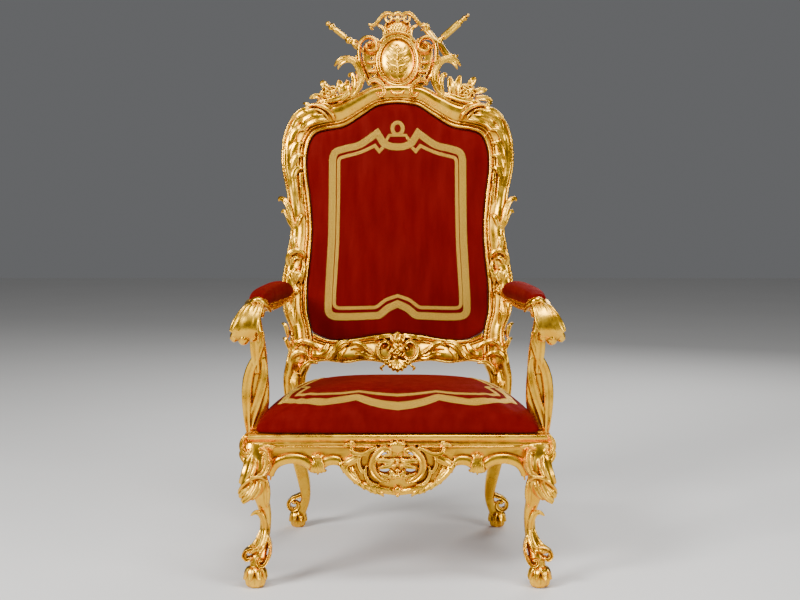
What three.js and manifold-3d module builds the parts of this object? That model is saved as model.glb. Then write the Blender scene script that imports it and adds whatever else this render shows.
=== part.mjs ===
// A carved and gilded rococo throne with a velvet seat, back and arm pads.
// Millimetres, +Z up, the chair faces -Y, origin on the floor below the middle of the chair.

import * as THREE from 'three';
import { mergeVertices } from 'three/addons/utils/BufferGeometryUtils.js';
import Module from 'manifold-3d';

const wasm = await Module();
wasm.setup();

// ---------------------------------------------------------------- driving sizes

const GAP = 0.3;                 // clearance between two pieces that touch
const SLACK = 1.8;               // how far a carved face may stray when spare points are dropped
const FINE_SLACK = 0.9;          // the same where two carved pieces meet on a curve
const CLOTH_SLACK = 0.12;        // the same for velvet and for the braid that lies on it
const SEAT_HALF_FRONT = 412;     // half width over the front seat rail
const SEAT_HALF_REAR = 346;      // half width over the stiles at seat height
const SEAT_FRONT_Y = -300;       // front face of the front rail
const SEAT_REAR_Y = 225;         // front face of the rear legs at seat height
const RAIL_TOP = 404;            // top of the seat rails
const MOULDING_BOTTOM = 375;     // underside of the moulding that runs round the seat
const SEAT_CROWN = 113;          // height of the stuffed seat above the rails
const LEG_INNER_X = 343;         // inner face of the front leg blocks
const LEG_OUTER_X = 417;
const LEG_BACK_Y = -262;         // rear face of the front leg blocks
const FOOT_X = 380;              // front foot centre
const FOOT_Y = 330;              // feet stand this far in front of and behind the middle
const REAR_FOOT_X = 313;
const BALL_HEIGHT = 47;
const REAR_BALL_HEIGHT = 44;
const BACK_PIVOT_Y = 235;        // where the leaning plane of the back crosses BACK_PIVOT_Z
const BACK_PIVOT_Z = 400;
const BACK_LEAN = THREE.MathUtils.degToRad(9);
const FRAME_BACK = 40;           // depth of the back frame behind its front plane
const BRAID_THICK = 2.2;

const FRONT = new THREE.Vector3(0, -1, 0);
const LEFT = new THREE.Vector3(-1, 0, 0);

// ---------------------------------------------------------------- materials

const finish = (color, roughness, metalness) => (
  new THREE.MeshStandardMaterial({ color, roughness, metalness })
);
const GILT = finish(0xd9a83c, 0.32, 0.9);
const VELVET = finish(0x7d0f0f, 0.9, 0);
const BRAID = finish(0xcfa84a, 0.6, 0.4);

// ---------------------------------------------------------------- solids

const point = (x, y, z) => new THREE.Vector3(x, y, z);
const onBack = (u, v, rise = 0) => point(u, -rise, v);

function signedVolume(xyz, tris) {
  const [a, b, c] = [point(), point(), point()];
  let sum = 0;
  for (let i = 0; i < tris.length; i += 3) {
    a.fromArray(xyz, 3 * tris[i]);
    b.fromArray(xyz, 3 * tris[i + 1]);
    c.fromArray(xyz, 3 * tris[i + 2]);
    sum += a.dot(b.cross(c));
  }
  return sum;
}

// A closed three.js geometry as a solid that can be joined and cut.
function solid(geometry) {
  const bare = geometry.clone();
  bare.deleteAttribute('normal');
  bare.deleteAttribute('uv');
  const merged = mergeVertices(bare, 1e-3);
  const xyz = merged.attributes.position.array;
  const all = merged.index.array;
  const tris = [];
  for (let i = 0; i < all.length; i += 3) {
    const [a, b, c] = [all[i], all[i + 1], all[i + 2]];
    if (a !== b && b !== c && c !== a) tris.push(a, b, c);
  }
  if (signedVolume(xyz, tris) < 0) tris.reverse();
  return new wasm.Manifold(new wasm.Mesh({
    numProp: 3,
    vertProperties: Float32Array.from(xyz),
    triVerts: Uint32Array.from(tris),
  }));
}

function geometryOf(body) {
  const mesh = body.getMesh();
  const geometry = new THREE.BufferGeometry();
  geometry.setAttribute('position', new THREE.BufferAttribute(mesh.vertProperties, 3));
  geometry.setIndex(new THREE.BufferAttribute(mesh.triVerts, 1));
  return geometry;
}

// Drops the points that a joined body doesn't need: a point moves onto a neighbour that lies within
// `slack` of every face round it, unless that would turn a face over or pinch the skin.
function thinned(body, slack) {
  const mesh = body.getMesh();
  const at = (v) => point().fromArray(mesh.vertProperties, 3 * v);
  const spots = Array.from({ length: mesh.vertProperties.length / 3 }, (_, v) => at(v));
  const corners = (t) => [...mesh.triVerts.slice(3 * t, 3 * t + 3)];
  const tris = Array.from({ length: mesh.triVerts.length / 3 }, (_, t) => corners(t));
  const around = spots.map(() => new Set());
  tris.forEach((tri, t) => tri.forEach((v) => around[v].add(t)));
  const normal = ([a, b, c]) => spots[b].clone().sub(spots[a]).cross(spots[c].clone().sub(spots[a]));
  const neighbours = (v) => new Set([...around[v]].flatMap((t) => tris[t]).filter((w) => w !== v));
  const cost = (v, w) => {
    let worst = 0;
    for (const t of around[v]) {
      const n = normal(tris[t]);
      const size = n.length();
      if (size > 0.05) worst = Math.max(worst, Math.abs(spots[w].clone().sub(spots[v]).dot(n)) / size);
      if (tris[t].includes(w)) continue;
      const next = normal(tris[t].map((k) => (k === v ? w : k)));
      if (next.length() < 0.05 || next.dot(n) < 0.35 * next.length() * size) return Infinity;
    }
    return worst;
  };
  const collapse = (v, w) => {
    for (const t of [...around[v]]) {
      if (tris[t].includes(w)) {
        tris[t].forEach((k) => around[k].delete(t));
        tris[t] = null;
      } else {
        tris[t] = tris[t].map((k) => (k === v ? w : k));
        around[w].add(t);
      }
    }
    around[v].clear();
  };
  for (let pass = 0; pass < 5; pass++) {
    spots.forEach((_, v) => {
      if (around[v].size === 0) return;
      const near = neighbours(v);
      const [best] = [...near].map((w) => [cost(v, w), w]).sort((a, b) => a[0] - b[0]);
      if (best[0] > (slack * (pass + 1)) / 5) return;
      const shared = [...neighbours(best[1])].filter((w) => near.has(w));
      if (shared.length === 2 && around[v].size > 2) collapse(v, best[1]);
    });
  }
  return new wasm.Manifold(new wasm.Mesh({
    numProp: 3,
    vertProperties: mesh.vertProperties,
    triVerts: Uint32Array.from(tris.filter(Boolean).flat()),
  }));
}

const join = (...bodies) => bodies.flat().reduce((all, body) => all.add(body));
const moved = (body, matrix) => solid(geometryOf(body).applyMatrix4(matrix));
const shifted = (body, x, y, z) => moved(body, new THREE.Matrix4().makeTranslation(x, y, z));
const mirrored = (body) => moved(body, new THREE.Matrix4().makeScale(-1, 1, 1));
const both = (body) => [body, mirrored(body)];

// Triangles that close a flat ring, in the ring's own turning direction.
function capTriangles(ring) {
  const normal = point();
  ring.forEach((p, k) => normal.add(p.clone().cross(ring[(k + 1) % ring.length])));
  if (normal.length() < 1e-2) return [];
  normal.normalize();
  const across = point(1, 0, 0).cross(normal).length() > 0.3 ? point(1, 0, 0) : point(0, 1, 0);
  const s = across.cross(normal).normalize();
  const t = normal.clone().cross(s);
  const flat = ring.map((p) => new THREE.Vector2(p.dot(s), p.dot(t)));
  const turning = Math.sign(THREE.ShapeUtils.area(flat));
  return THREE.ShapeUtils.triangulateShape(flat, []).map((tri) => {
    const sense = Math.sign(THREE.ShapeUtils.area(tri.map((i) => flat[i])));
    return sense === turning ? tri : tri.reverse();
  });
}

// A skin over rings of equal count, capped at both ends, or joined end to end when closed.
function loft(rings, closed = false) {
  const count = rings[0].length;
  const xyz = rings.flat().flatMap((p) => [p.x, p.y, p.z]);
  const index = [];
  const spans = closed ? rings.length : rings.length - 1;
  for (let r = 0; r < spans; r++) {
    for (let k = 0; k < count; k++) {
      const a = r * count + k;
      const b = r * count + ((k + 1) % count);
      const c = ((r + 1) % rings.length) * count + k;
      const d = ((r + 1) % rings.length) * count + ((k + 1) % count);
      index.push(a, b, d, a, d, c);
    }
  }
  if (!closed) {
    const last = (rings.length - 1) * count;
    capTriangles(rings[0]).forEach(([a, b, c]) => index.push(a, c, b));
    capTriangles(rings.at(-1)).forEach(([a, b, c]) => index.push(last + a, last + b, last + c));
  }
  const geometry = new THREE.BufferGeometry();
  geometry.setAttribute('position', new THREE.Float32BufferAttribute(xyz, 3));
  geometry.setIndex(index);
  return solid(geometry);
}

// ---------------------------------------------------------------- sections and sweeps

const circle = (sides) => Array.from({ length: sides }, (_, k) => {
  const a = (2 * Math.PI * (k + 0.5)) / sides;
  return [Math.cos(a), Math.sin(a)];
});
const HEXAGON = circle(6);
const OCTAGON = circle(8);
const RING = [[1, -1], [0.5, 1], [-0.5, 1], [-1, -1]];
const BAND = [[1, -0.7], [0.6, 1], [-0.6, 1], [-1, -0.7]];
const SCOOPED = [[1, -1], [1, 0.7], [0.62, 1], [0.1, 0.35], [-0.5, 0.9], [-1, 0.55], [-1, -1]];

// A section carried along a smooth path. Its first direction lies across the path, its second faces `face`.
function sweep({ path, sizes, section, face = FRONT, steps = 12, closed = false }) {
  const line = new THREE.CatmullRomCurve3(path, closed);
  const size = new THREE.CatmullRomCurve3(sizes.map(([w, d]) => point(w, d, 0)), closed, 'catmullrom', 0.5);
  const count = closed ? steps : steps + 1;
  const rings = Array.from({ length: count }, (_, i) => {
    const t = i / steps;
    const centre = line.getPoint(t);
    const along = line.getTangent(t);
    const across = along.clone().cross(face).normalize();
    const up = across.clone().cross(along);
    const { x: w, y: d } = size.getPoint(sizes.length === 1 ? 0 : t);
    const outline = typeof section === 'function' ? section(t) : section;
    return outline.map(([a, b]) => centre.clone().addScaledVector(across, a * w).addScaledVector(up, b * d));
  });
  return loft(rings, closed);
}

// An acanthus leaf: a blade whose edge is cut into lobes and whose tip runs out to a point.
function leaf({ path, width, rise, lobes = 3, face = FRONT, notch = 0.4 }) {
  const steps = 2 * lobes;
  const section = (t) => {
    const cut = Math.round(t * steps) % 2 === 0 ? 1 - notch : 1;
    const blade = Math.sin(Math.PI * (0.2 + 0.8 * t)) ** 0.8 * (t === 0 ? 1 : cut);
    const ridge = Math.max(0, 1 - t) ** 0.35;
    return [[blade, -0.5 * ridge], [0.4 * blade, ridge], [-0.4 * blade, ridge], [-blade, -0.5 * ridge]];
  };
  return sweep({ path, sizes: path.map(() => [width, rise]), section, face, steps });
}

// A flat line that winds up towards both ends, like a C, or like an S when `twist` is -1.
function scrollLine(from, to, { windFrom = 1, windTo = 1, power = 2.6, twist = 1, flip = 1, steps = 16 }) {
  const heading = (x) => (x < 0 ? -windFrom : twist * windTo) * 2 * Math.PI * Math.abs(x) ** power;
  const pts = [new THREE.Vector2(0, 0)];
  const fine = 8;
  for (let i = 0; i < steps * fine; i++) {
    const x = (2 * (i + 0.5)) / (steps * fine) - 1;
    const pace = 1 - 0.72 * Math.abs(x) ** 3;
    const step = new THREE.Vector2(pace * Math.cos(heading(x)), flip * pace * Math.sin(heading(x)));
    pts.push(step.add(pts.at(-1)));
  }
  const span = pts.at(-1).clone();
  const aim = new THREE.Vector2(to[0] - from[0], to[1] - from[1]);
  const scale = aim.length() / span.length();
  const turn = aim.angle() - span.angle();
  return pts.filter((_, i) => i % fine === 0).map((p) => {
    const q = p.rotateAround(new THREE.Vector2(0, 0), turn).multiplyScalar(scale);
    return [from[0] + q.x, from[1] + q.y];
  });
}

const ball = (centre, radius) => solid(
  new THREE.IcosahedronGeometry(radius, 0).translate(...centre.toArray()),
);

// A scroll band in an upright plane at depth -rise, with a round eye on each end.
function scroll({ from, to, band, depth, rise = 0, eyes = [1, 1], ...shape }) {
  const line = scrollLine(from, to, shape);
  const path = line.map(([u, v]) => onBack(u, v, rise));
  const sizes = path.map((_, i) => {
    const x = Math.abs((2 * i) / (path.length - 1) - 1);
    return [band * (1 - 0.5 * x * x), depth * (1 - 0.25 * x)];
  });
  const body = sweep({ path, sizes, section: BAND, steps: path.length - 1 });
  const ends = [path[0], path.at(-1)].map((p, i) => eyes[i] && ball(p, band * 1.15 * eyes[i]));
  return join(body, ends.filter(Boolean));
}

// A flower: petals round a raised heart.
function flower({ u, v, rise, radius, petals = 5, height = 12 }) {
  const layers = [[0.8, -1], [1, 0.25], [0.45, 0.6], [0.3, 1.05]];
  const sides = petals * 2;
  return loft(layers.map(([r, h]) => Array.from({ length: sides }, (_, k) => {
    const a = (2 * Math.PI * k) / sides;
    const reach = radius * r * (1 + 0.16 * Math.cos(petals * a));
    return onBack(u + reach * Math.cos(a), v + reach * Math.sin(a), rise + h * height);
  })));
}

// The outline's points as vectors, turning anticlockwise, or clockwise for a hole.
function turned(outline, anticlockwise) {
  const pts = outline.map(([u, v]) => new THREE.Vector2(u, v));
  return THREE.ShapeUtils.isClockWise(pts) === anticlockwise ? pts.reverse() : pts;
}

// A flat board cut to an outline in the upright plane, from depth y0 to y1.
function board(outline, y0, y1, holes = []) {
  const shape = new THREE.Shape(turned(outline, true));
  holes.forEach((hole) => shape.holes.push(new THREE.Path(turned(hole, false))));
  const geometry = new THREE.ExtrudeGeometry(shape, { depth: y1 - y0, bevelEnabled: false });
  return solid(geometry.rotateX(Math.PI / 2).translate(0, y1, 0));
}

const box = (x0, x1, y0, y1, z0, z1) => solid(
  new THREE.BoxGeometry(x1 - x0, y1 - y0, z1 - z0).translate((x0 + x1) / 2, (y0 + y1) / 2, (z0 + z1) / 2),
);
const spline = (pts, count) => new THREE.SplineCurve(pts.map(([u, v]) => new THREE.Vector2(u, v)))
  .getPoints(count).map((p) => [p.x, p.y]);
const symmetric = (half) => [...half, ...half.slice(0, -1).reverse().map(([u, v]) => [-u, v])];
const oval = (u, v, a, b, sides = 6) => circle(sides).map(([x, y]) => [u + a * x, v + b * y]);

// ---------------------------------------------------------------- frame of the back

// Pairs of sight-edge and outer-edge points, from the middle of the crest down the side to the seat.
const SIDE_STATIONS = [
  [[0, 943], [0, 1004]],
  [[62, 934], [72, 998]],
  [[112, 902], [138, 966]],
  [[168, 867], [196, 940]],
  [[228, 855], [262, 934]],
  [[262, 840], [322, 908]],
  [[281, 796], [356, 846]],
  [[284, 730], [363, 750]],
  [[273, 640], [345, 650]],
  [[266, 545], [333, 545]],
  [[270, 462], [346, 455]],
  [[279, 370], [359, 370]],
  [[279, 290], [353, 292]],
  [[268, 236], [331, 228]],
  [[261, 180], [334, 182]],
  [[266, 126], [344, 130]],
  [[283, 84], [352, 80]],
  [[284, 20], [348, 20]],
];
const CREST_STEPS = 18;          // faces along the crest rail, each stile and the lower rail
const STILE_STEPS = 18;
const RAIL_STEPS = 12;
const CREST_JOINT = 5.2;         // station number where the crest rail meets the stiles
const LAST_STATION = SIDE_STATIONS.length - 1;

// Lower rail of the back: top (sight) edge and lower edge, from the middle outwards.
const RAIL_STATIONS = [
  [[0, 220], [0, 108]],
  [[60, 216], [48, 128]],
  [[115, 206], [105, 134]],
  [[165, 200], [160, 127]],
  [[215, 201], [222, 133]],
  [[262, 222], [262, 127]],
];

// Section of the frame: distance from the sight edge (0 to 1) and depth behind the front plane.
const FRAME_SECTION = [[0, FRAME_BACK], [0.02, -5], [0.13, -6], [0.18, 1], [0.46, -4], [0.76, -15],
  [0.95, -9], [1, 8], [0.95, FRAME_BACK]];

// The two edges of a member as curves, first the sight edge.
const edgeCurves = (stations) => [0, 1].map((e) => (
  new THREE.SplineCurve(stations.map((s) => new THREE.Vector2(...s[e])))
));

// One member of the frame between two station numbers; below zero they are on the left side. `grow`
// thickens it all round, for cutting a seat in what stands on it.
function frameMember(stations, from, to, steps, height = () => 1, grow = 0) {
  const edges = edgeCurves(stations);
  const last = stations.length - 1;
  const rings = Array.from({ length: steps + 1 }, (_, i) => {
    const t = from + ((to - from) * i) / steps;
    const [inner, outer] = edges.map((edge) => edge.getPoint(Math.abs(t) / last));
    const spread = grow / inner.distanceTo(outer);
    return FRAME_SECTION.map(([w, y]) => {
      const p = inner.clone().lerp(outer, w + (w > 0.5 ? spread : -spread));
      return point(Math.sign(t || 1) * p.x, y < 0 ? y * height(Math.abs(t)) - grow : y + grow, p.y);
    });
  });
  return loft(rings);
}

// All that lies on one side of a joint of the left half of the frame. `sense` 1 is the side of the first
// station, -1 the other side, each with half of the clearance.
function beyondJoint(stations, station, sense) {
  const [inner, outer] = edgeCurves(stations).map((edge) => edge.getPoint(station / (stations.length - 1)));
  const along = outer.clone().sub(inner).normalize();
  const away = new THREE.Vector2(-along.y, along.x).multiplyScalar(sense);
  const reach = 1500;            // past every part of the back
  const corners = [[-reach, GAP / -2], [reach, GAP / -2], [reach, reach], [-reach, reach]];
  return board(corners.map(([s, t]) => {
    const p = inner.clone().addScaledVector(along, s).addScaledVector(away, t);
    return [-p.x, p.y];
  }), -90, 90);
}
const pastCrestJoint = beyondJoint(SIDE_STATIONS, CREST_JOINT, -1);
const beforeCrestJoint = beyondJoint(SIDE_STATIONS, CREST_JOINT, 1);
const RAIL_JOINT = RAIL_STATIONS.length - 1;
const pastRailJoint = beyondJoint(RAIL_STATIONS, RAIL_JOINT, 1);
const beforeRailJoint = beyondJoint(RAIL_STATIONS, RAIL_JOINT, -1);
const trim = (body, ...cutters) => cutters.flat().reduce((left, cutter) => left.subtract(cutter), body);

const crestCorner = [
  leaf({ path: [onBack(-316, 880, 6), onBack(-280, 906, 12), onBack(-236, 904, 14), onBack(-198, 884, 10)],
    width: 26, rise: 12 }),
  leaf({ path: [onBack(-258, 918, 4), onBack(-206, 930, 10), onBack(-158, 944, 6)], width: 15, rise: 9,
    lobes: 2 }),
];
const rose = (u, v) => join(
  flower({ u, v, rise: 6, radius: 26, height: 16 }),
  [[-22, 34], [26, 36], [52, 10]].map(([du, dv]) => leaf({
    path: [onBack(u, v, 2), onBack(u + 0.6 * du, v + 0.6 * dv, 8), onBack(u + 1.2 * du, v + 1.2 * dv, 4)],
    width: 12, rise: 8, lobes: 2, notch: 0.1,
  })),
  leaf({ path: [onBack(u + 12, v - 62, 0), onBack(u - 14, v - 26, 6), onBack(u - 54, v - 14, 4)], width: 18,
    rise: 10, lobes: 2 }),
);

const CREST_REACH = CREST_JOINT + 0.05;
const crestRail = trim(join(
  frameMember(SIDE_STATIONS, -CREST_REACH, CREST_REACH, CREST_STEPS),
  crestCorner.flatMap(both),
  both(rose(-216, 972)),
), both(pastCrestJoint));

const bottomRail = trim(join(
  frameMember(RAIL_STATIONS, -RAIL_JOINT, RAIL_JOINT, RAIL_STEPS, (t) => 0.8 + 0.1 * t),
  both(leaf({ path: [onBack(-70, 176, 6), onBack(-110, 188, 16), onBack(-150, 170, 18), onBack(-176, 138, 12)],
    width: 16, rise: 9, lobes: 2 })),
  both(leaf({ path: [onBack(-150, 196, 4), onBack(-196, 182, 16), onBack(-222, 150, 16), onBack(-206, 108, 6)],
    width: 18, rise: 9, lobes: 2 })),
  both(scroll({ from: [-34, 132], to: [-30, 196], band: 7, depth: 12, rise: 12, windFrom: 0.6, windTo: 0.6,
    flip: 1, steps: 7 })),
  flower({ u: 0, v: 164, rise: 10, radius: 24, height: 13 }),
  leaf({ path: [onBack(0, 190, 8), onBack(0, 214, 14), onBack(0, 240, 10)], width: 17, rise: 9, lobes: 2 }),
  leaf({ path: [onBack(0, 140, 8), onBack(0, 118, 14), onBack(0, 96, 10)], width: 20, rise: 9, lobes: 2 }),
), both(pastRailJoint));

// ---------------------------------------------------------------- rear legs with the stiles

const leanMatrix = new THREE.Matrix4()
  .makeTranslation(0, BACK_PIVOT_Y, BACK_PIVOT_Z)
  .multiply(new THREE.Matrix4().makeRotationX(-BACK_LEAN));
const intoBackFrame = (body) => moved(body, leanMatrix.clone().invert());

function ballFoot(x, y, height, radius) {
  const sides = 10;
  const levels = [[0.65, 0], [1, 0.3], [0.95, 0.65], [0.5, 1]];
  return loft(levels.map(([r, z]) => Array.from({ length: sides }, (_, k) => {
    const a = (2 * Math.PI * k) / sides;
    const reach = radius * r * (k % 2 && z > 0 ? 0.84 : 1);
    return point(x + reach * Math.cos(a), y + reach * Math.sin(a), z * height);
  })));
}

const rearLeg = join(
  sweep({
    path: [[-316, 250, 412], [-316, 254, 350], [-311, 268, 270], [-302, 288, 205], [-291, 306, 140],
      [-288, 318, 92], [-302, 326, 56], [-313, 330, 34]].map((p) => point(...p)),
    sizes: [[31, 24], [30, 25], [25, 24], [21, 22], [18, 19], [14, 17], [17, 17], [19, 18]],
    section: OCTAGON, steps: 10,
  }),
  box(-348, -284, SEAT_REAR_Y, 268, 340, 416),
  ballFoot(-REAR_FOOT_X, FOOT_Y, REAR_BALL_HEIGHT, 25),
  moved(scroll({ from: [-327, 84], to: [-296, 60], band: 8, depth: 15, windFrom: 0.9, windTo: 0.3, flip: -1,
    steps: 10, eyes: [1, 0] }), new THREE.Matrix4().makeTranslation(0, 322, 0)),
);
const stile = trim(join(
  frameMember(SIDE_STATIONS, -LAST_STATION, -CREST_JOINT + 0.05, STILE_STEPS,
    (t) => THREE.MathUtils.clamp((LAST_STATION - t) / 2, 0.05, 1)),
  leaf({ path: [onBack(-318, 520, 8), onBack(-336, 566, 16), onBack(-350, 606, 16), onBack(-366, 646, 8)],
    width: 15, rise: 8, lobes: 2 }),
  leaf({ path: [onBack(-306, 430, 8), onBack(-300, 500, 16), onBack(-296, 560, 18), onBack(-306, 610, 10)],
    width: 17, rise: 8 }),
  leaf({ path: [onBack(-344, 690, 8), onBack(-352, 760, 18), onBack(-340, 824, 24), onBack(-306, 862, 18)],
    width: 22, rise: 9 }),
  leaf({ path: [onBack(-330, 150, 6), onBack(-338, 200, 14), onBack(-346, 240, 12), onBack(-352, 276, 6)],
    width: 15, rise: 8, lobes: 2 }),
  leaf({ path: [onBack(-262, 190, 6), onBack(-290, 216, 16), onBack(-318, 190, 18), onBack(-324, 130, 14)],
    width: 20, rise: 9, lobes: 2 }),
  board([[-346, 312], [-304, 312], [-298, 360], [-312, 402], [-338, 402], [-350, 360]], -20, 20),
  flower({ u: -324, v: 386, rise: 14, radius: 17, petals: 4, height: 10 }),
  intoBackFrame(rearLeg),
), beforeCrestJoint, beforeRailJoint);

// ---------------------------------------------------------------- crest ornament

const cartouchePlate = symmetric(spline([[0, 986], [-46, 984], [-92, 1004], [-116, 1046], [-122, 1088],
  [-108, 1132], [-78, 1142], [-52, 1136], [-44, 1160], [-52, 1184], [-34, 1206], [0, 1214]], 11));
const SHIELD_V = 1074;           // height of the middle of the oval shield
const cartouche = join(
  board(cartouchePlate, -4, 18),
  solid(new THREE.SphereGeometry(1, 10, 6).scale(53, 22, 72).translate(0, -4, SHIELD_V)),
  sweep({ path: oval(0, SHIELD_V, 59, 79, 12).map(([u, v]) => onBack(u, v, 8)), sizes: Array(12).fill([6.5, 9]),
    section: RING, steps: 12, closed: true }),
  both(scroll({ from: [-82, 1122], to: [-62, 1008], band: 10, depth: 17, rise: 6, windFrom: 0.9, windTo: 0.55,
    power: 2.4, flip: 1, steps: 10, eyes: [1.3, 1] })),
  both(leaf({ path: [onBack(-112, 1000, -2), onBack(-122, 1052, 10), onBack(-146, 1084, 16),
    onBack(-186, 1092, 14), onBack(-204, 1062, 6)], width: 17, rise: 8 })),
  both(leaf({ path: [onBack(-96, 994, 0), onBack(-130, 1004, 8), onBack(-150, 1034, 10)], width: 15, rise: 8,
    lobes: 2 })),
  both(leaf({ path: [onBack(-46, 1176, 2), onBack(-62, 1196, 12), onBack(-80, 1196, 14), onBack(-88, 1180, 8)],
    width: 12, rise: 8, lobes: 2 })),
  both(scroll({ from: [-26, 1212], to: [-72, 1186], band: 8, depth: 13, rise: 6, windFrom: 0.8, windTo: 0.2,
    power: 2, flip: -1, steps: 6, eyes: [1, 0] })),
  flower({ u: 0, v: 1220, rise: 4, radius: 17, petals: 4, height: 11 }),
  both(leaf({ path: [onBack(-4, 996, 6), onBack(-34, 984, 14), onBack(-66, 990, 10)], width: 12, rise: 8,
    lobes: 2 })),
).subtract(frameMember(SIDE_STATIONS, (-2 / 3) * CREST_REACH, (2 / 3) * CREST_REACH, (2 / 3) * CREST_STEPS,
  () => 1, GAP));

// A turned rod along the line between two points of the back plane.
function turnedRod(from, to, profile, depth) {
  const [a, b] = [from, to].map(([u, v]) => new THREE.Vector2(u, v));
  const length = a.distanceTo(b);
  const lathe = new THREE.LatheGeometry(
    [[0, 0], ...profile, [0, 1]].map(([r, s]) => new THREE.Vector2(r, s * length)), 8);
  const turn = b.clone().sub(a).angle() - Math.PI / 2;
  return solid(lathe.rotateX(Math.PI / 2).rotateY(-turn).translate(a.x, depth, a.y));
}

const BEHIND_PLATE = 29.5;       // depth of the crossed rods, just behind the cartouche plate
const sceptre = turnedRod([-228, 1212], [-84, 1096], [[5, 0], [8, 0.03], [10, 0.08], [9, 0.13], [5, 0.17],
  [4.5, 0.45], [8, 0.48], [8, 0.52], [4.5, 0.56], [10, 0.7], [6, 0.78], [6, 1]], BEHIND_PLATE);
const sword = join(
  turnedRod([228, 1238], [84, 1108], [[7, 0], [10, 0.05], [7, 0.1], [5, 0.13], [8, 0.3], [8.5, 0.45], [6, 0.6],
    [7, 0.64], [7, 1]], BEHIND_PLATE),
  sweep({ path: [[84, 1200], [98, 1186], [122, 1156], [146, 1122], [170, 1098], [186, 1104]]
    .map(([u, v]) => point(u, BEHIND_PLATE, v)), sizes: [[6, 6], [5, 6], [7, 8], [7, 8], [5, 6], [6, 6]],
  section: HEXAGON, steps: 12 }),
);

// ---------------------------------------------------------------- seat rails

const SEAT_SIDE_DIR = new THREE.Vector2(SEAT_HALF_REAR - SEAT_HALF_FRONT, SEAT_REAR_Y - SEAT_FRONT_Y);
const sideX = (y) => SEAT_HALF_FRONT - 4 + ((y - SEAT_FRONT_Y) * SEAT_SIDE_DIR.x) / SEAT_SIDE_DIR.y;

// Moulding section: distance out from the rail's inner line, and height.
const MOULDING = [[0, MOULDING_BOTTOM], [38, MOULDING_BOTTOM], [42, 382], [39, 387], [41, 396], [44, 399],
  [42, RAIL_TOP], [0, RAIL_TOP]];
const APRON_HALF = LEG_INNER_X - GAP;
const apronEdge = symmetric(spline([[-APRON_HALF, 290], [-324, 316], [-287, 327], [-240, 315], [-222, 300],
  [-204, 316], [-160, 316], [-120, 279], [-70, 250], [0, 236]], 14));
const apronTop = [APRON_HALF, -APRON_HALF].map((x) => [x, MOULDING_BOTTOM + 1]);
const apron = board([...apronTop, ...apronEdge], -297, -270, [
  oval(-56, 292, 15, 17), oval(56, 292, 15, 17), oval(-104, 318, 12, 15), oval(104, 318, 12, 15),
]);
const atRail = (body) => moved(body, new THREE.Matrix4().makeTranslation(0, -296, 0));
const frontRail = join(
  loft([-SEAT_HALF_FRONT, SEAT_HALF_FRONT].map((x) => MOULDING.map(([d, z]) => point(x, -262 - d, z)))),
  apron,
  [
    both(scroll({ from: [-96, 340], to: [-34, 262], band: 9, depth: 14, rise: 4, windFrom: 0.75, windTo: 0.7,
      flip: 1, steps: 9 })),
    both(scroll({ from: [-150, 338], to: [-92, 274], band: 7, depth: 11, rise: 2, windFrom: 0.6, windTo: 0.4,
      flip: 1, steps: 8, eyes: [1, 0] })),
    [
      [[[-212, 372, 2], [-212, 344, 14], [-212, 296, 6]], 17, 10],
      [[[-130, 356, 2], [-166, 360, 12], [-200, 344, 8]], 13, 8],
      [[[-226, 342, 2], [-262, 352, 10], [-304, 356, 4]], 13, 8],
      [[[-20, 250, 2], [-60, 252, 12], [-104, 276, 6]], 14, 9],
      [[[-10, 366, 4], [-40, 362, 14], [-70, 346, 8]], 14, 9],
    ].flatMap(([path, width, rise]) => (
      both(leaf({ path: path.map((p) => onBack(...p)), width, rise, lobes: 2 }))
    )),
    flower({ u: 0, v: 318, rise: 4, radius: 27, petals: 6, height: 16 }),
    leaf({ path: [onBack(0, 344, 4), onBack(0, 368, 18), onBack(0, 392, 12)], width: 19, rise: 9, lobes: 2 }),
    leaf({ path: [onBack(0, 276, 4), onBack(0, 256, 14), onBack(0, 226, 6)], width: 20, rise: 10, lobes: 2 }),
  ].flat().map(atRail),
);

const SIDE_RAIL_BOTTOM = 345;
const sideRailEnds = [LEG_BACK_Y + GAP, SEAT_REAR_Y - GAP];
const SIDE_SECTION = [[0, SIDE_RAIL_BOTTOM], [30, SIDE_RAIL_BOTTOM], [32, 352], [32, MOULDING_BOTTOM - 6],
  ...MOULDING.slice(1, -1).map(([d, z]) => [d - 2, z]), [0, RAIL_TOP]];
const sideRail = loft(sideRailEnds.map((y) => SIDE_SECTION.map(([d, z]) => point(-sideX(y) + 40 - d, y, z))));
const REAR_RAIL_HALF = 284 - GAP;
const rearRail = box(-REAR_RAIL_HALF, REAR_RAIL_HALF, 230, 262, SIDE_RAIL_BOTTOM, RAIL_TOP);

// ---------------------------------------------------------------- front legs

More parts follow.
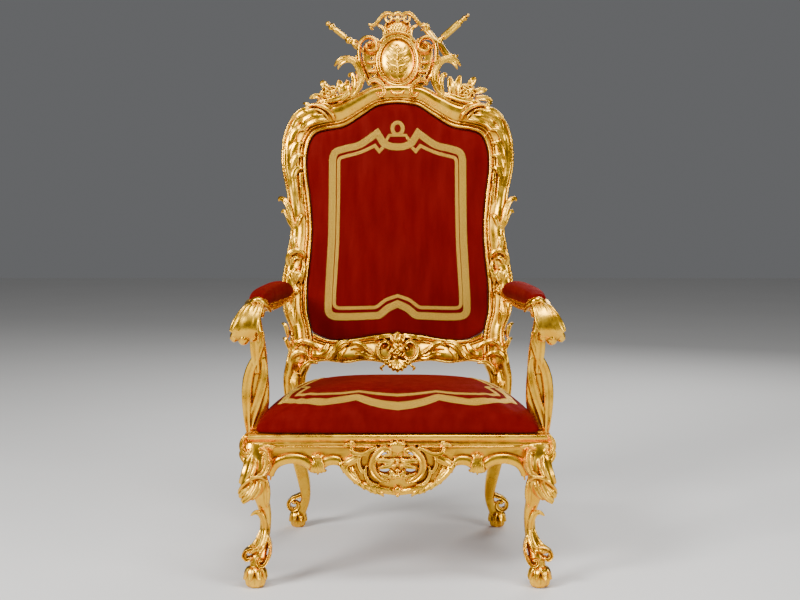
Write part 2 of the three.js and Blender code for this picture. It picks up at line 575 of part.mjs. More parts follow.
const frontLeg = trim(join(
  box(-LEG_OUTER_X + 5, -LEG_INNER_X, -304, LEG_BACK_Y, 330, MOULDING_BOTTOM - GAP),
  sweep({
    path: [[-379, -286, 372], [-381, -300, 330], [-380, -306, 285], [-366, -300, 235], [-356, -292, 190],
      [-357, -296, 148], [-362, -306, 112], [-374, -322, 72], [-FOOT_X, -FOOT_Y, 40]].map((p) => point(...p)),
    sizes: [[37, 28], [37, 34], [33, 32], [22, 22], [18, 18], [17, 17], [18, 18], [22, 22], [18, 18]],
    section: OCTAGON, steps: 12,
  }),
  leaf({ path: [point(-384, -300, 374), point(-398, -338, 350), point(-402, -352, 300), point(-404, -346, 262),
    point(-424, -352, 236)], width: 32, rise: 12, face: point(-0.6, -0.8, 0) }),
  leaf({ path: [point(-360, -318, 262), point(-358, -322, 220), point(-356, -318, 176)], width: 15, rise: 8,
    lobes: 2, face: point(-0.4, -0.9, 0) }),
  leaf({ path: [point(-366, -318, 86), point(-364, -322, 120), point(-358, -322, 160)], width: 18, rise: 9,
    lobes: 2, face: point(-0.4, -0.9, 0) }),
  moved(scroll({ from: [-400, 80], to: [-360, 62], band: 9, depth: 20, windFrom: 0.95, windTo: 0.35, flip: -1,
    steps: 8, eyes: [1.1, 0] }), new THREE.Matrix4().makeTranslation(0, -330, 0)),
  moved(scroll({ from: [-356, 66], to: [-382, 74], band: 7, depth: 18, windFrom: 0.7, windTo: 0.2, flip: 1,
    steps: 6, eyes: [1, 0] }), new THREE.Matrix4().makeTranslation(0, -332, 0)),
  ballFoot(-FOOT_X, -FOOT_Y, BALL_HEIGHT, 30),
), box(-500, -200, -400, 0, MOULDING_BOTTOM - GAP, 500), box(-500, -200, LEG_BACK_Y, 0, 200, 500));

// ---------------------------------------------------------------- seat and back upholstery

const SEAT_MID_Y = (SEAT_FRONT_Y + SEAT_REAR_Y) / 2;
const CUSHION_HALF_LENGTH = (SEAT_REAR_Y - SEAT_FRONT_Y) / 2 - 4;
const cushionHalf = (y) => sideX(y) - 10;
const cushionTop = (a, b) => {
  const fall = (s) => Math.max(0, 1 - Math.abs(s) ** 3) ** 0.4;
  return RAIL_TOP + GAP + 10 + (SEAT_CROWN - 10) * fall(a) * fall(b);
};

// The stuffed seat: a crowned block over a tapering plan, built as a grid of small faces.
function cushion(columns, rows) {
  const ease = (k, n) => Math.sin((Math.PI / 2) * ((2 * k) / n - 1));
  const at = (i, j, low) => {
    const a = ease(i, columns);
    const b = ease(j, rows);
    const y = SEAT_MID_Y + b * CUSHION_HALF_LENGTH;
    const corner = 1 - 0.035 * Math.abs(a * b) ** 6;
    return point(a * cushionHalf(y) * corner, SEAT_MID_Y + b * CUSHION_HALF_LENGTH * corner,
      low ? RAIL_TOP + GAP : cushionTop(a, b));
  };
  const rings = Array.from({ length: columns + 1 }, (_, i) => [
    ...Array.from({ length: rows + 1 }, (_, j) => at(i, j, false)),
    at(i, rows, true), at(i, 0, true),
  ]);
  return loft(rings);
}
const seatCushion = cushion(12, 10);

// The opening of the back frame, through the same points as the frame members' own faces.
const sightPoints = (stations, from, to, steps, count) => {
  const [edge] = edgeCurves(stations);
  return Array.from({ length: count }, (_, i) => {
    const p = edge.getPoint((from + ((to - from) * i) / steps) / (stations.length - 1));
    return [-p.x, p.y];
  });
};
const sightOutline = symmetric([
  ...sightPoints(SIDE_STATIONS, 0, CREST_REACH, CREST_STEPS / 2, CREST_STEPS / 2),
  ...sightPoints(SIDE_STATIONS, CREST_JOINT - 0.05, LAST_STATION, STILE_STEPS, 12),
  ...sightPoints(RAIL_STATIONS, RAIL_JOINT, 0, RAIL_STEPS / 2, RAIL_STEPS / 2 + 1),
]).slice(0, -1);
const PANEL_MID_V = 560;
const PANEL_LAYERS = [[0.995, 28], [0.995, 9], [0.96, -1], [0.88, -5]];
const backPanel = loft(PANEL_LAYERS.map(([k, y]) => sightOutline.map(([u, v]) =>
  point(u * k, y, PANEL_MID_V + (v - PANEL_MID_V) * (1 - (1 - k) * 0.8)))));
const rearCover = loft([28 + GAP, 33, 36].map((y, i) => sightOutline.map(([u, v]) => {
  const k = i === 2 ? 0.97 : 0.995;
  return point(u * k, y, PANEL_MID_V + (v - PANEL_MID_V) * k);
})));

// ---------------------------------------------------------------- braid

// A flat ribbon of even width along a line, as an outline with a hole or as one open strip.
function ribbon(line, width, closed) {
  const offset = (side) => line.map(([u, v], i) => {
    const before = line[closed ? (i + line.length - 1) % line.length : Math.max(0, i - 1)];
    const after = line[closed ? (i + 1) % line.length : Math.min(line.length - 1, i + 1)];
    const [p, q] = [[u - before[0], v - before[1]], [after[0] - u, after[1] - v]]
      .map(([x, y]) => new THREE.Vector2(x, y).normalize());
    const bisector = p.clone().add(q).normalize();
    const reach = (width / 2) / Math.max(0.5, bisector.dot(q.lengthSq() ? q : p));
    return [u - side * bisector.y * reach, v + side * bisector.x * reach];
  });
  return closed ? [offset(1), offset(-1)] : [[...offset(1), ...offset(-1).reverse()]];
}

const area = (ring) => Math.abs(THREE.ShapeUtils.area(ring.map(([u, v]) => new THREE.Vector2(u, v))));
function ribbonPrism(line, width, closed, near, far) {
  const rings = ribbon(line, width, closed).sort((a, b) => area(b) - area(a));
  return board(rings[0], near, far, rings.slice(1));
}

// Braid laid on the padded panel of the back: the ribbon's prism cut to a thin skin on the velvet.
const panelSkin = (prism) => prism
  .intersect(shifted(backPanel, 0, -GAP - BRAID_THICK, 0))
  .subtract(shifted(backPanel, 0, -GAP, 0));

const outerBraidLine = symmetric([[0, 792], [-40, 806], [-62, 834], [-92, 812], [-128, 802], [-180, 786],
  [-202, 764], [-203, 700], [-203, 540], [-209, 410], [-214, 322], [-206, 280], [-178, 270], [-62, 272],
  [-34, 296], [0, 306]]).slice(0, -1);
const innerBraidLine = symmetric([[-60, 784], [-70, 798], [-116, 780], [-160, 768], [-178, 750], [-180, 640],
  [-181, 500], [-188, 390], [-191, 312], [-182, 298], [-76, 298], [-40, 322], [0, 332]]);
const backBraidOuter = panelSkin(ribbonPrism(outerBraidLine, 24, true, -40, 20));
const backBraidInner = panelSkin(ribbonPrism(innerBraidLine, 11, false, -40, 20));
const backBraidLoop = panelSkin(join(
  ribbonPrism(oval(0, 846, 15, 21, 12), 9, true, -40, 20),
  board([[-18, 816], [18, 816], [28, 830], [-28, 830]], -40, 20),
));

// Braid on the seat follows its crown in the same way, cut from upright prisms.
const upright = (prism) => moved(prism, new THREE.Matrix4().makeRotationX(-Math.PI / 2));
const seatSkin = (prism) => upright(prism)
  .intersect(shifted(seatCushion, 0, 0, GAP + BRAID_THICK))
  .subtract(shifted(seatCushion, 0, 0, GAP));
const SEAT_BRAID_FRONT = SEAT_FRONT_Y + 60;
const SEAT_BRAID_REAR = SEAT_REAR_Y - 66;
const outerSeatLine = symmetric([[0, SEAT_BRAID_FRONT - 6], [-90, SEAT_BRAID_FRONT - 8],
  [-140, SEAT_BRAID_FRONT + 6], [-250, SEAT_BRAID_FRONT + 2], [-318, SEAT_BRAID_FRONT - 6],
  [-298, SEAT_BRAID_FRONT + 60], [-268, SEAT_BRAID_FRONT + 92], [-262, SEAT_BRAID_REAR - 90],
  [-232, SEAT_BRAID_REAR - 10], [-150, SEAT_BRAID_REAR], [0, SEAT_BRAID_REAR]]).slice(0, -1);
const innerSeatLine = ribbon(outerSeatLine, 50, true).sort((a, b) => area(a) - area(b))[0];
const seatBraidOuter = seatSkin(ribbonPrism(outerSeatLine, 22, true, -600, -300));
const seatBraidInner = seatSkin(ribbonPrism(innerSeatLine, 11, true, -600, -300));

// ---------------------------------------------------------------- arms

const ARM_SECTION = [[1, 0.5], [0.4, 1], [-1, 0.8], [-1, -0.8], [0.4, -1], [1, -0.5]];
const arm = sweep({
  path: [[-334, 284, 742], [-346, 190, 730], [-366, 60, 724], [-384, -60, 728], [-396, -150, 738],
    [-404, -205, 752], [-411, -252, 752], [-414, -288, 724], [-415, -292, 684], [-414, -268, 660],
    [-413, -248, 676]].map((p) => point(...p)),
  sizes: [[17, 21], [14, 20], [14, 22], [14, 23], [15, 25], [17, 28], [18, 36], [17, 43], [15, 46], [12, 44],
    [8, 40]],
  section: ARM_SECTION, face: LEFT, steps: 18,
}).subtract(moved(box(-420, -250, -20.3, 60, 260, 420), leanMatrix));

const padBlank = sweep({
  path: [[-336, 232, 752], [-348, 170, 760], [-362, 90, 762], [-377, -10, 762], [-391, -110, 764],
    [-401, -178, 762]].map((p) => point(...p)),
  sizes: [[8, 14], [24, 25], [27, 29], [26, 28], [22, 25], [8, 15]],
  section: OCTAGON, face: LEFT, steps: 7,
});
const armPad = padBlank.subtract(shifted(arm, 0, 0, GAP)).subtract(shifted(arm, 0, 0, -6));

const supportBlank = sweep({
  path: [[-397, -214, 740], [-380, -220, 650], [-382, -212, 590], [-386, -205, 530], [-388, -200, 480],
    [-406, -196, 430], [-414, -196, 384]].map((p) => point(...p)),
  sizes: [[19, 16], [19, 16], [24, 17], [32, 18], [33, 18], [19, 16], [10, 12]],
  section: SCOOPED, steps: 11,
});
const armSupport = supportBlank
  .subtract(shifted(arm, 0, 0, -GAP))
  .subtract(shifted(arm, 0, 0, 8))
  .subtract(shifted(sideRail, -GAP, 0, GAP))
  .subtract(shifted(seatCushion, -0.5, 0, 0.5));

// ---------------------------------------------------------------- the throne

function piece(name, body, material, parent) {
  const mesh = new THREE.Mesh(geometryOf(body), material);
  mesh.name = name;
  parent.add(mesh);
}

function pair(name, body, material, parent) {
  piece(`${name}_left`, body, material, parent);
  piece(`${name}_right`, mirrored(body), material, parent);
}

const throne = new THREE.Group();
const back = new THREE.Group();
back.position.set(0, BACK_PIVOT_Y, BACK_PIVOT_Z);
back.rotation.x = -BACK_LEAN;
throne.add(back);

pair('front_leg', thinned(frontLeg, SLACK), GILT, throne);
pair('rear_leg_stile', thinned(stile, SLACK), GILT, back);
piece('crest_rail', thinned(crestRail, FINE_SLACK), GILT, back);
piece('crest_cartouche', thinned(cartouche, FINE_SLACK), GILT, back);
piece('crest_sceptre', sceptre, GILT, back);
piece('crest_sword', thinned(sword, FINE_SLACK), GILT, back);
piece('back_bottom_rail', thinned(bottomRail, SLACK), GILT, back);
piece('front_seat_rail', thinned(frontRail, SLACK), GILT, throne);
pair('side_seat_rail', sideRail, GILT, throne);
piece('rear_seat_rail', rearRail, GILT, throne);
pair('arm', arm, GILT, throne);
pair('arm_support', thinned(armSupport, FINE_SLACK), GILT, throne);
piece('seat_upholstery', seatCushion, VELVET, throne);
piece('back_upholstery', thinned(backPanel, CLOTH_SLACK), VELVET, back);
piece('back_rear_cover', thinned(rearCover, CLOTH_SLACK), VELVET, back);
pair('arm_pad', thinned(armPad, CLOTH_SLACK), VELVET, throne);
piece('back_braid_outer', backBraidOuter, BRAID, back);
piece('back_braid_inner', backBraidInner, BRAID, back);
piece('back_braid_loop', backBraidLoop, BRAID, back);
piece('seat_braid_outer', thinned(seatBraidOuter, CLOTH_SLACK), BRAID, throne);
piece('seat_braid_inner', thinned(seatBraidInner, CLOTH_SLACK), BRAID, throne);

// The origin is on the floor under the middle of the chair's box.
const reach = new THREE.Box3().setFromObject(throne, true);
throne.position.y = -(reach.min.y + reach.max.y) / 2;

export default throne;
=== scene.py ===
"""A carved and gilded rococo throne with a stuffed velvet seat, back and arm pads.

Sizes and places inside the classes are millimetres on the chair's own drawing: x across, y from front to
back with zero midway between the feet, z up. Pieces of the back are drawn flat, as (across, up, rise), on the
plane that leans with the back. Everything becomes metres in the frame's own place when its mesh is made.
"""

import logging
import math
from dataclasses import dataclass, field
from enum import Enum
from typing import Callable, Iterable, Sequence

import bpy
import numpy as np
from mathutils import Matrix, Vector
from mathutils.bvhtree import BVHTree
from mathutils.geometry import tessellate_polygon


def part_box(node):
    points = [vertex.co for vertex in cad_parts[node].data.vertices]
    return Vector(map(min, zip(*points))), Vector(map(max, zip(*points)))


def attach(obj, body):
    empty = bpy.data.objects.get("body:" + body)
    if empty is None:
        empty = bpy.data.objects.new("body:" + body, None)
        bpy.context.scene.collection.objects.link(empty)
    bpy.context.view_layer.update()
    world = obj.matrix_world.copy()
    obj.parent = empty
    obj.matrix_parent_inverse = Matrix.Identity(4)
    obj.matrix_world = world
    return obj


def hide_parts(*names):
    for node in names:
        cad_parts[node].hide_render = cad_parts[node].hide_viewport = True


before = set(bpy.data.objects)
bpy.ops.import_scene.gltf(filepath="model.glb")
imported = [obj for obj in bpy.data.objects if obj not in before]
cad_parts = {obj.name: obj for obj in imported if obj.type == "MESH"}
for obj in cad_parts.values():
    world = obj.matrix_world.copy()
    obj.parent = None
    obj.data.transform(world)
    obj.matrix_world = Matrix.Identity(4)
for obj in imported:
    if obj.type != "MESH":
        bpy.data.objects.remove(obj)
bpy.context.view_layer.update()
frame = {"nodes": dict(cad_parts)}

LOG = logging.getLogger("throne")
MM = 0.001
FRONT = (0.0, -1.0, 0.0)
BODY = "root"
REAR_RAIL_FRONT = 230.0
Point = Sequence[float]
Line = Sequence[Point]
Rows = np.ndarray
Change = Callable[[Rows], Rows]
Piece = bpy.types.Object
Socket = bpy.types.NodeSocket


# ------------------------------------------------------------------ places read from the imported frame

@dataclass(frozen=True)
class Datum:
    """Main places of the chair on its own drawing, in millimetres."""

    shift_y: float
    rail_top: float
    lean: float = math.radians(9.0)
    pivot_y: float = 235.0
    pivot_z: float = 400.0

    def world(self, points: Rows) -> Rows:
        """Drawing points in millimetres as world points in metres.

        Args:
            points: Rows of x, y, z.

        Returns:
            The same rows in metres, in the frame's place.
        """
        return (points + np.array([0.0, self.shift_y, 0.0])) * MM

    def lean_back(self, points: Rows) -> Rows:
        """Points drawn on the upright plane of the back, leant to their place on the chair.

        Args:
            points: Rows of across, depth behind the front plane, up.

        Returns:
            Rows of x, y, z on the chair's drawing.
        """
        c, s = math.cos(self.lean), math.sin(self.lean)
        across, depth, up = points.T
        return np.stack([across, self.pivot_y + depth * c + up * s, self.pivot_z - depth * s + up * c], axis=1)


def read_datum() -> Datum:
    """The chair's places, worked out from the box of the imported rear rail."""
    low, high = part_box("rear_seat_rail")
    return Datum(shift_y=low.y / MM - REAR_RAIL_FRONT, rail_top=high.z / MM)


DATUM = read_datum()


# ------------------------------------------------------------------ lines

def steps(count: int) -> Rows:
    """Even parameters from 0 to 1."""
    return np.linspace(0.0, 1.0, count)


def spline(points: Line, t: Rows, closed: bool = False) -> Rows:
    """A smooth line through points.

    Args:
        points: The points that the line passes.
        t: Parameters from 0 at the first point to 1 at the last, or back at the first when closed.
        closed: Whether the line runs back to its first point.

    Returns:
        One row for each parameter.
    """
    p = np.asarray(points, float)
    n = len(p)
    at = np.clip(np.asarray(t, float), 0, 1) * (n if closed else n - 1)
    i = np.minimum(at.astype(int), n - 1 if closed else n - 2)
    f = (at - i)[:, None]
    a, b, c, d = (p[(i + k) % n if closed else np.clip(i + k, 0, n - 1)] for k in (-1, 0, 1, 2))
    return b + 0.5 * f * (c - a + f * (2 * a - 5 * b + 4 * c - d + f * (3 * (b - c) + d - a)))


def unit(v: Rows) -> Rows:
    """Rows scaled to length 1."""
    return v / np.maximum(np.linalg.norm(v, axis=-1, keepdims=True), 1e-9)


def frames(line: Rows, face: Point | Rows, closed: bool = False) -> tuple[Rows, ...]:
    """Directions along a line, across it, and out of it towards a face.

    Args:
        line: Rows of points.
        face: The way that the piece faces, one for all or one for each row.
        closed: Whether the line runs back to its start.

    Returns:
        Three arrays of unit rows: along, across and out.
    """
    if closed:
        along = unit(np.roll(line, -1, axis=0) - np.roll(line, 1, axis=0))
    else:
        along = unit(np.gradient(line, axis=0))
    across = unit(np.cross(along, np.broadcast_to(np.asarray(face, float), line.shape)))
    return along, across, np.cross(across, along)


# ------------------------------------------------------------------ shells

@dataclass
class Shell:
    """One closed skin: its points and its faces."""

    points: Rows
    faces: list[tuple[int, ...]]

    def moved(self, change: Change) -> "Shell":
        """The skin with its points put through a function that keeps its handedness."""
        return Shell(change(self.points), self.faces)

    def mirrored(self) -> "Shell":
        """The skin's mirror image across the middle of the chair."""
        return Shell(self.points * np.array([-1.0, 1.0, 1.0]), [face[::-1] for face in self.faces])


def mirrored(shells: Iterable[Shell]) -> list[Shell]:
    """Mirror images of skins."""
    return [shell.mirrored() for shell in shells]


def both(shells: Iterable[Shell]) -> list[Shell]:
    """Skins with their mirror images."""
    found = list(shells)
    return found + mirrored(found)


def skin(rings: Rows, closed: bool = False) -> Shell:
    """A closed skin over rings of points, turned outwards.

    Args:
        rings: An array of rings, each a loop of points.
        closed: Whether the last ring joins the first, as on a hoop; open ends are capped.

    Returns:
        The skin.
    """
    rows, loop = rings.shape[:2]
    index = np.arange(rows * loop).reshape(rows, loop)
    nxt = np.roll(index, -1, axis=1)
    low, high = (index, np.roll(index, -1, axis=0)) if closed else (index[:-1], index[1:])
    low_n, high_n = (nxt, np.roll(nxt, -1, axis=0)) if closed else (nxt[:-1], nxt[1:])
    quads = np.stack([low, low_n, high_n, high], axis=-1).reshape(-1, 4)
    faces = [tuple(q) for q in quads.tolist()]
    if not closed:
        faces += [tuple(index[0][::-1].tolist()), tuple(index[-1].tolist())]
    points = rings.reshape(-1, 3)
    a, b, c, d = (points[quads[:, k]] - points.mean(axis=0) for k in range(4))
    volume = np.einsum("ij,ij->i", a, np.cross(b, c)) + np.einsum("ij,ij->i", a, np.cross(c, d))
    return Shell(points, faces if volume.sum() > 0 else [face[::-1] for face in faces])


def loop_section(count: int, square: float = 2.0) -> Rows:
    """A round section of radius 1.

    Args:
        count: Number of points.
        square: 2 for a circle, and squarer as it grows.

    Returns:
        Rows of across and out.
    """
    a = np.linspace(0, 2 * np.pi, count, endpoint=False)
    c, s = np.cos(a), np.sin(a)
    k = (np.abs(c) ** square + np.abs(s) ** square) ** (-1 / square)
    return np.stack([c * k, s * k], axis=1)


def sweep(path: Line, sizes: Line, section: Rows | Callable[[float], Rows], face: Point = FRONT,
          count: int = 40, closed: bool = False) -> Shell:
    """A section carried along a smooth line.

    Args:
        path: Points that the middle of the section passes.
        sizes: Half width across and half depth out, one pair for each point of the path, or one for all.
        section: Rows of across and out for a unit section, or a function of the parameter that gives them.
        face: The way that the depth points.
        count: Number of rings.
        closed: Whether the line runs back to its start.

    Returns:
        The skin.
    """
    t = np.linspace(0, 1, count, endpoint=not closed)
    line = spline(path, t, closed)
    pairs = np.asarray(sizes, float)
    size = spline(pairs, t, closed) if len(pairs) > 1 else np.repeat(pairs, count, axis=0)
    _, across, out = frames(line, face, closed)
    unit_sections = [section(v) if callable(section) else section for v in t]
    rings = [line[i] + across[i] * (sec[:, :1] * size[i, 0]) + out[i] * (sec[:, 1:] * size[i, 1])
             for i, sec in enumerate(unit_sections)]
    return skin(np.array(rings), closed)


def flat(points: Iterable[Point]) -> Rows:
    """Points drawn as across, up and rise, as rows of across, depth and up."""
    rows = np.array([(p[0], p[1], p[2] if len(p) > 2 else 0.0) for p in points], float)
    return np.stack([rows[:, 0], -rows[:, 2], rows[:, 1]], axis=1)


def ball(centre: Point, radii: Point, count: int = 16) -> Shell:
    """A smooth ball.

    Args:
        centre: Its middle.
        radii: Half sizes along x, y and z.
        count: Points round each ring.

    Returns:
        The skin.
    """
    a = np.linspace(0.02, np.pi - 0.02, count // 2 + 1)
    b = np.linspace(0, 2 * np.pi, count, endpoint=False)
    rings = np.stack([np.sin(a)[:, None] * np.cos(b), np.sin(a)[:, None] * np.sin(b),
                      np.repeat(np.cos(a)[:, None], count, axis=1)], axis=-1)
    return skin(rings * np.asarray(radii, float) + np.asarray(centre, float))


def block(low: Point, high: Point) -> Shell:
    """A plain box between two corners."""
    (x0, y0, z0), (x1, y1, z1) = low, high
    return skin(np.array([[(x0, y0, z), (x1, y0, z), (x1, y1, z), (x0, y1, z)] for z in (z0, z1)], float))


# ------------------------------------------------------------------ carver's motifs

# Across, from one edge to the other: a raised lip, a hollow, a raised lip, and a flat bed to glue down.
CHANNEL = np.array([(1.0, -1.0), (1.03, 0.1), (0.98, 0.55), (0.87, 0.86), (0.72, 0.97), (0.57, 0.88),
                    (0.35, 0.74), (0.0, 0.68), (-0.35, 0.74), (-0.57, 0.88), (-0.72, 0.97), (-0.87, 0.86),
                    (-0.98, 0.55), (-1.03, 0.1), (-1.0, -1.0)])


def plume(path: Line, width: float, rise: float, face: Point = FRONT, root: float = 0.55, widest: float = 0.35,
          flutes: int = 1, bed: float = 6.0, point: float = 0.1) -> Shell:
    """A smooth fluted blade that swells and then tapers to a tip.

    Args:
        path: The line of its middle.
        width: Half width where it is widest.
        rise: Height above its line.
        face: The way that it faces.
        root: Width at the root, as a share of the widest.
        widest: Where along it the blade is widest.
        flutes: Hollows that run along it.
        bed: Depth of wood below its line.
        point: Width of the tip, as a share of the widest.

    Returns:
        The skin.
    """
    count = 34
    s = steps(count)
    line = spline(path, s)
    _, across, out = frames(line, face)
    swell = root + (1 - root) * np.sin(np.pi / 2 * np.clip(s / widest, 0, 1))
    taper = np.cos(np.pi / 2 * np.clip((s - widest) / (1 - widest), 0, 1)) ** 0.8
    half = width * swell * (point + (1 - point) * taper) * np.where(s > 0.985, 0.6, 1)
    t = np.sin(np.linspace(-np.pi / 2, np.pi / 2, 7 + 6 * flutes))
    dome = np.sqrt(np.clip(1 - t ** 4, 0, 1))
    ridges = 0.5 - 0.5 * np.cos(np.pi * (t + 1) * flutes) if flutes else np.zeros_like(t)
    crest = dome * (1 - 0.42 * ridges)
    height = rise * (0.35 + 0.65 * taper ** 0.5)[:, None] * crest
    front = line[:, None] + across[:, None] * (half[:, None] * t)[..., None] + out[:, None] * height[..., None]
    depth = bed * (0.25 + 0.75 * taper)
    under = (line[:, None] + across[:, None] * (half[:, None] * np.array([0.9, -0.9]))[..., None]
             - out[:, None] * depth[:, None, None])
    return skin(np.concatenate([front, under], axis=1))


def blade(path: Line, width: float, rise: float, face: Point = FRONT, bed: float = 4.0) -> Shell:
    """A plain pointed leaf, folded along its rib.

    Args:
        path: The line of its rib.
        width: Half width where it is widest.
        rise: Height of its edges above its line.
        face: The way that it faces.
        bed: Depth of wood below its line.

    Returns:
        The skin.
    """
    s = steps(22)
    line = spline(path, s)
    _, across, out = frames(line, face)
    half = width * np.sin(np.pi * np.clip(0.1 + 0.9 * s, 0, 1)) ** 0.75 + 0.6
    t = np.linspace(-1, 1, 9)
    height = rise * (0.2 + 0.8 * np.abs(t) ** 0.8 * (1 - 0.5 * np.abs(t) ** 6))
    front = (line[:, None] + across[:, None] * (half[:, None] * t)[..., None]
             + out[:, None] * height[None, :, None])
    under = (line[:, None] + across[:, None] * (half[:, None] * np.array([0.8, -0.8]))[..., None]
             - out[:, None] * bed)
    return skin(np.concatenate([front, under], axis=1))


def flower(u: float, v: float, rise: float, radius: float, height: float = 14.0) -> list[Shell]:
    """A rose facing forward: three whorls of curled petal rims that climb to its heart.

    Args:
        u: Its middle, across.
        v: Its middle, up.
        rise: Height of its base above the plane.
        radius: Its radius.
        height: Height of its heart above its base.

    Returns:
        The heart and the rims.
    """
    made = [ball((u, -rise - height * 0.25, v), (radius * 0.84, height * 0.75, radius * 0.84), 20)]
    for size, lift, count, span in ((0.86, 0.35, 5, 1.25), (0.58, 0.8, 4, 1.5), (0.31, 1.05, 3, 1.8)):
        for k in range(count):
            a = 2 * math.pi * k / count + 2.2 * lift + span * (steps(6) - 0.5)
            reach = radius * (size + 0.14 * np.cos(np.pi * (steps(6) - 0.5)))
            rim = np.stack([u + reach * np.cos(a), v + reach * np.sin(a),
                            rise + height * (0.2 + 0.6 * lift + 0.22 * np.sin(np.pi * steps(6)))], axis=1)
            sizes = [(radius * w, height * 0.3) for w in (0.05, 0.11, 0.13, 0.13, 0.11, 0.05)]
            made.append(sweep(flat(rim), sizes, loop_section(12), count=26))
    return made + [ball((u, -rise - height * 0.95, v), (radius * 0.13, height * 0.25, radius * 0.13), 10)]


def melon(centre: Point, radius: float, height: float, lobes: int = 8) -> Shell:
    """A ball foot carved in lobes like a melon, flat where it stands.

    Args:
        centre: Where it stands.
        radius: Its radius.
        height: Its height.
        lobes: Number of lobes.

    Returns:
        The skin.
    """
    a = np.linspace(0, 2 * np.pi, lobes * 8, endpoint=False)
    ripple = 1 - 0.13 * np.abs(np.cos(lobes * a / 2)) ** 3
    levels = [(0.5, 0.0, 0.3), (0.76, 0.05, 0.7), (0.94, 0.18, 1), (1.0, 0.38, 1), (0.98, 0.56, 1),
              (0.86, 0.76, 0.9), (0.62, 0.92, 0.4), (0.44, 1.0, 0.0)]
    rings = []
    for r, z, share in levels:
        reach = radius * r * (1 - share * (1 - ripple))
        rings.append(np.stack([centre[0] + reach * np.cos(a), centre[1] + reach * np.sin(a),
                               np.full(a.shape, centre[2] + z * height)], axis=1))
    return skin(np.array(rings))


# ------------------------------------------------------------------ finishes

class Tree:
    """A short hand for building one material's nodes."""

    def __init__(self, name: str) -> None:
        """Starts a material with an empty principled shader.

        Args:
            name: The material's name.
        """
        self.material = bpy.data.materials.new(name)
        self.material.use_nodes = True
        self.nodes = self.material.node_tree.nodes
        self.links = self.material.node_tree.links
        self.shader = self.nodes["Principled BSDF"]

    def add(self, kind: str, links: dict | None = None, **settings) -> bpy.types.Node:
        """One node.

        Args:
            kind: Node type without its ShaderNode prefix.
            links: Input name or number to an output socket or a constant.
            **settings: Properties of the node itself.

        Returns:
            The node.
        """
        node = self.nodes.new("ShaderNode" + kind)
        for key, value in settings.items():
            setattr(node, key, value)
        for key, value in (links or {}).items():
            self.feed(node.inputs[key], value)
        return node

    def feed(self, socket: Socket, value: object) -> None:
        """Links a socket to an output, or sets its constant.

        Args:
            socket: An input.
            value: An output socket or a constant.
        """
        if isinstance(value, Socket):
            self.links.new(value, socket)
        else:
            socket.default_value = value

    def set(self, name: str, value: object) -> None:
        """Feeds an input of the shader itself."""
        self.feed(self.shader.inputs[name], value)

    def maths(self, operation: str, *values: object) -> Socket:
        """One sum on numbers.

        Args:
            operation: The Math node's operation.
            *values: Output sockets or constants.

        Returns:
            The sum's output.
        """
        node = self.add("Math", operation=operation)
        for socket, value in zip(node.inputs, values):
            self.feed(socket, value)
        return node.outputs[0]

    def noise(self, scale: float, stretch: Point = (1, 1, 1), detail: float = 3.0) -> Socket:
        """Noise from 0 to 1 on the object's own coordinates.

        Args:
            scale: Waves to the metre.
            stretch: Waves along each axis as a share of the scale.
            detail: How fine it goes.

        Returns:
            The noise's output.
        """
        mapping = self.add("Mapping", {"Vector": self.add("TexCoord").outputs["Object"], "Scale": stretch})
        links = {"Vector": mapping.outputs[0], "Scale": scale, "Detail": detail}
        return self.add("TexNoise", links).outputs["Fac"]

    def spread(self, value: Socket, low: float, high: float, to_low: float = 0.0,
               to_high: float = 1.0) -> Socket:
        """A number carried from one range to another and held inside it."""
        return self.add("MapRange", {"Value": value, "From Min": low, "From Max": high, "To Min": to_low,
                                     "To Max": to_high}).outputs[0]

    def blend(self, share: Socket, first: object, second: object) -> Socket:
        """A colour mixed between two.

        Args:
            share: Output from 0, the first colour, to 1, the second.
            first: An output socket or a colour.
            second: An output socket or a colour.

        Returns:
            The mix's output.
        """
        node = self.add("Mix", data_type="RGBA")
        for name, value in (("Factor", share), ("A", first), ("B", second)):
            socket = next(s for s in node.inputs if s.name == name and (name == "Factor" or s.type == "RGBA"))
            self.feed(socket, value)
        return next(s for s in node.outputs if s.type == "RGBA")

    def attribute(self, name: str) -> Socket:
        """A number kept on the mesh's points."""
        return self.add("Attribute", attribute_name=name).outputs["Fac"]

    def bump(self, height: Socket, strength: float, distance: float,
             under: Socket | None = None) -> Socket:
        """A normal raised by a height.

        Args:
            height: Output from 0 to 1.
            strength: Share of the bump that shows.
            distance: Height of the bump in metres.
            under: Another normal that it lies on, or None.

        Returns:
            The normal's output.
        """
        links = {"Height": height, "Strength": strength, "Distance": distance}
        if under:
            links["Normal"] = under
        return self.add("Bump", links).outputs[0]


def rgba(red: float, green: float, blue: float) -> tuple[float, float, float, float]:
    """A colour as a socket takes it."""
    return (red, green, blue, 1.0)


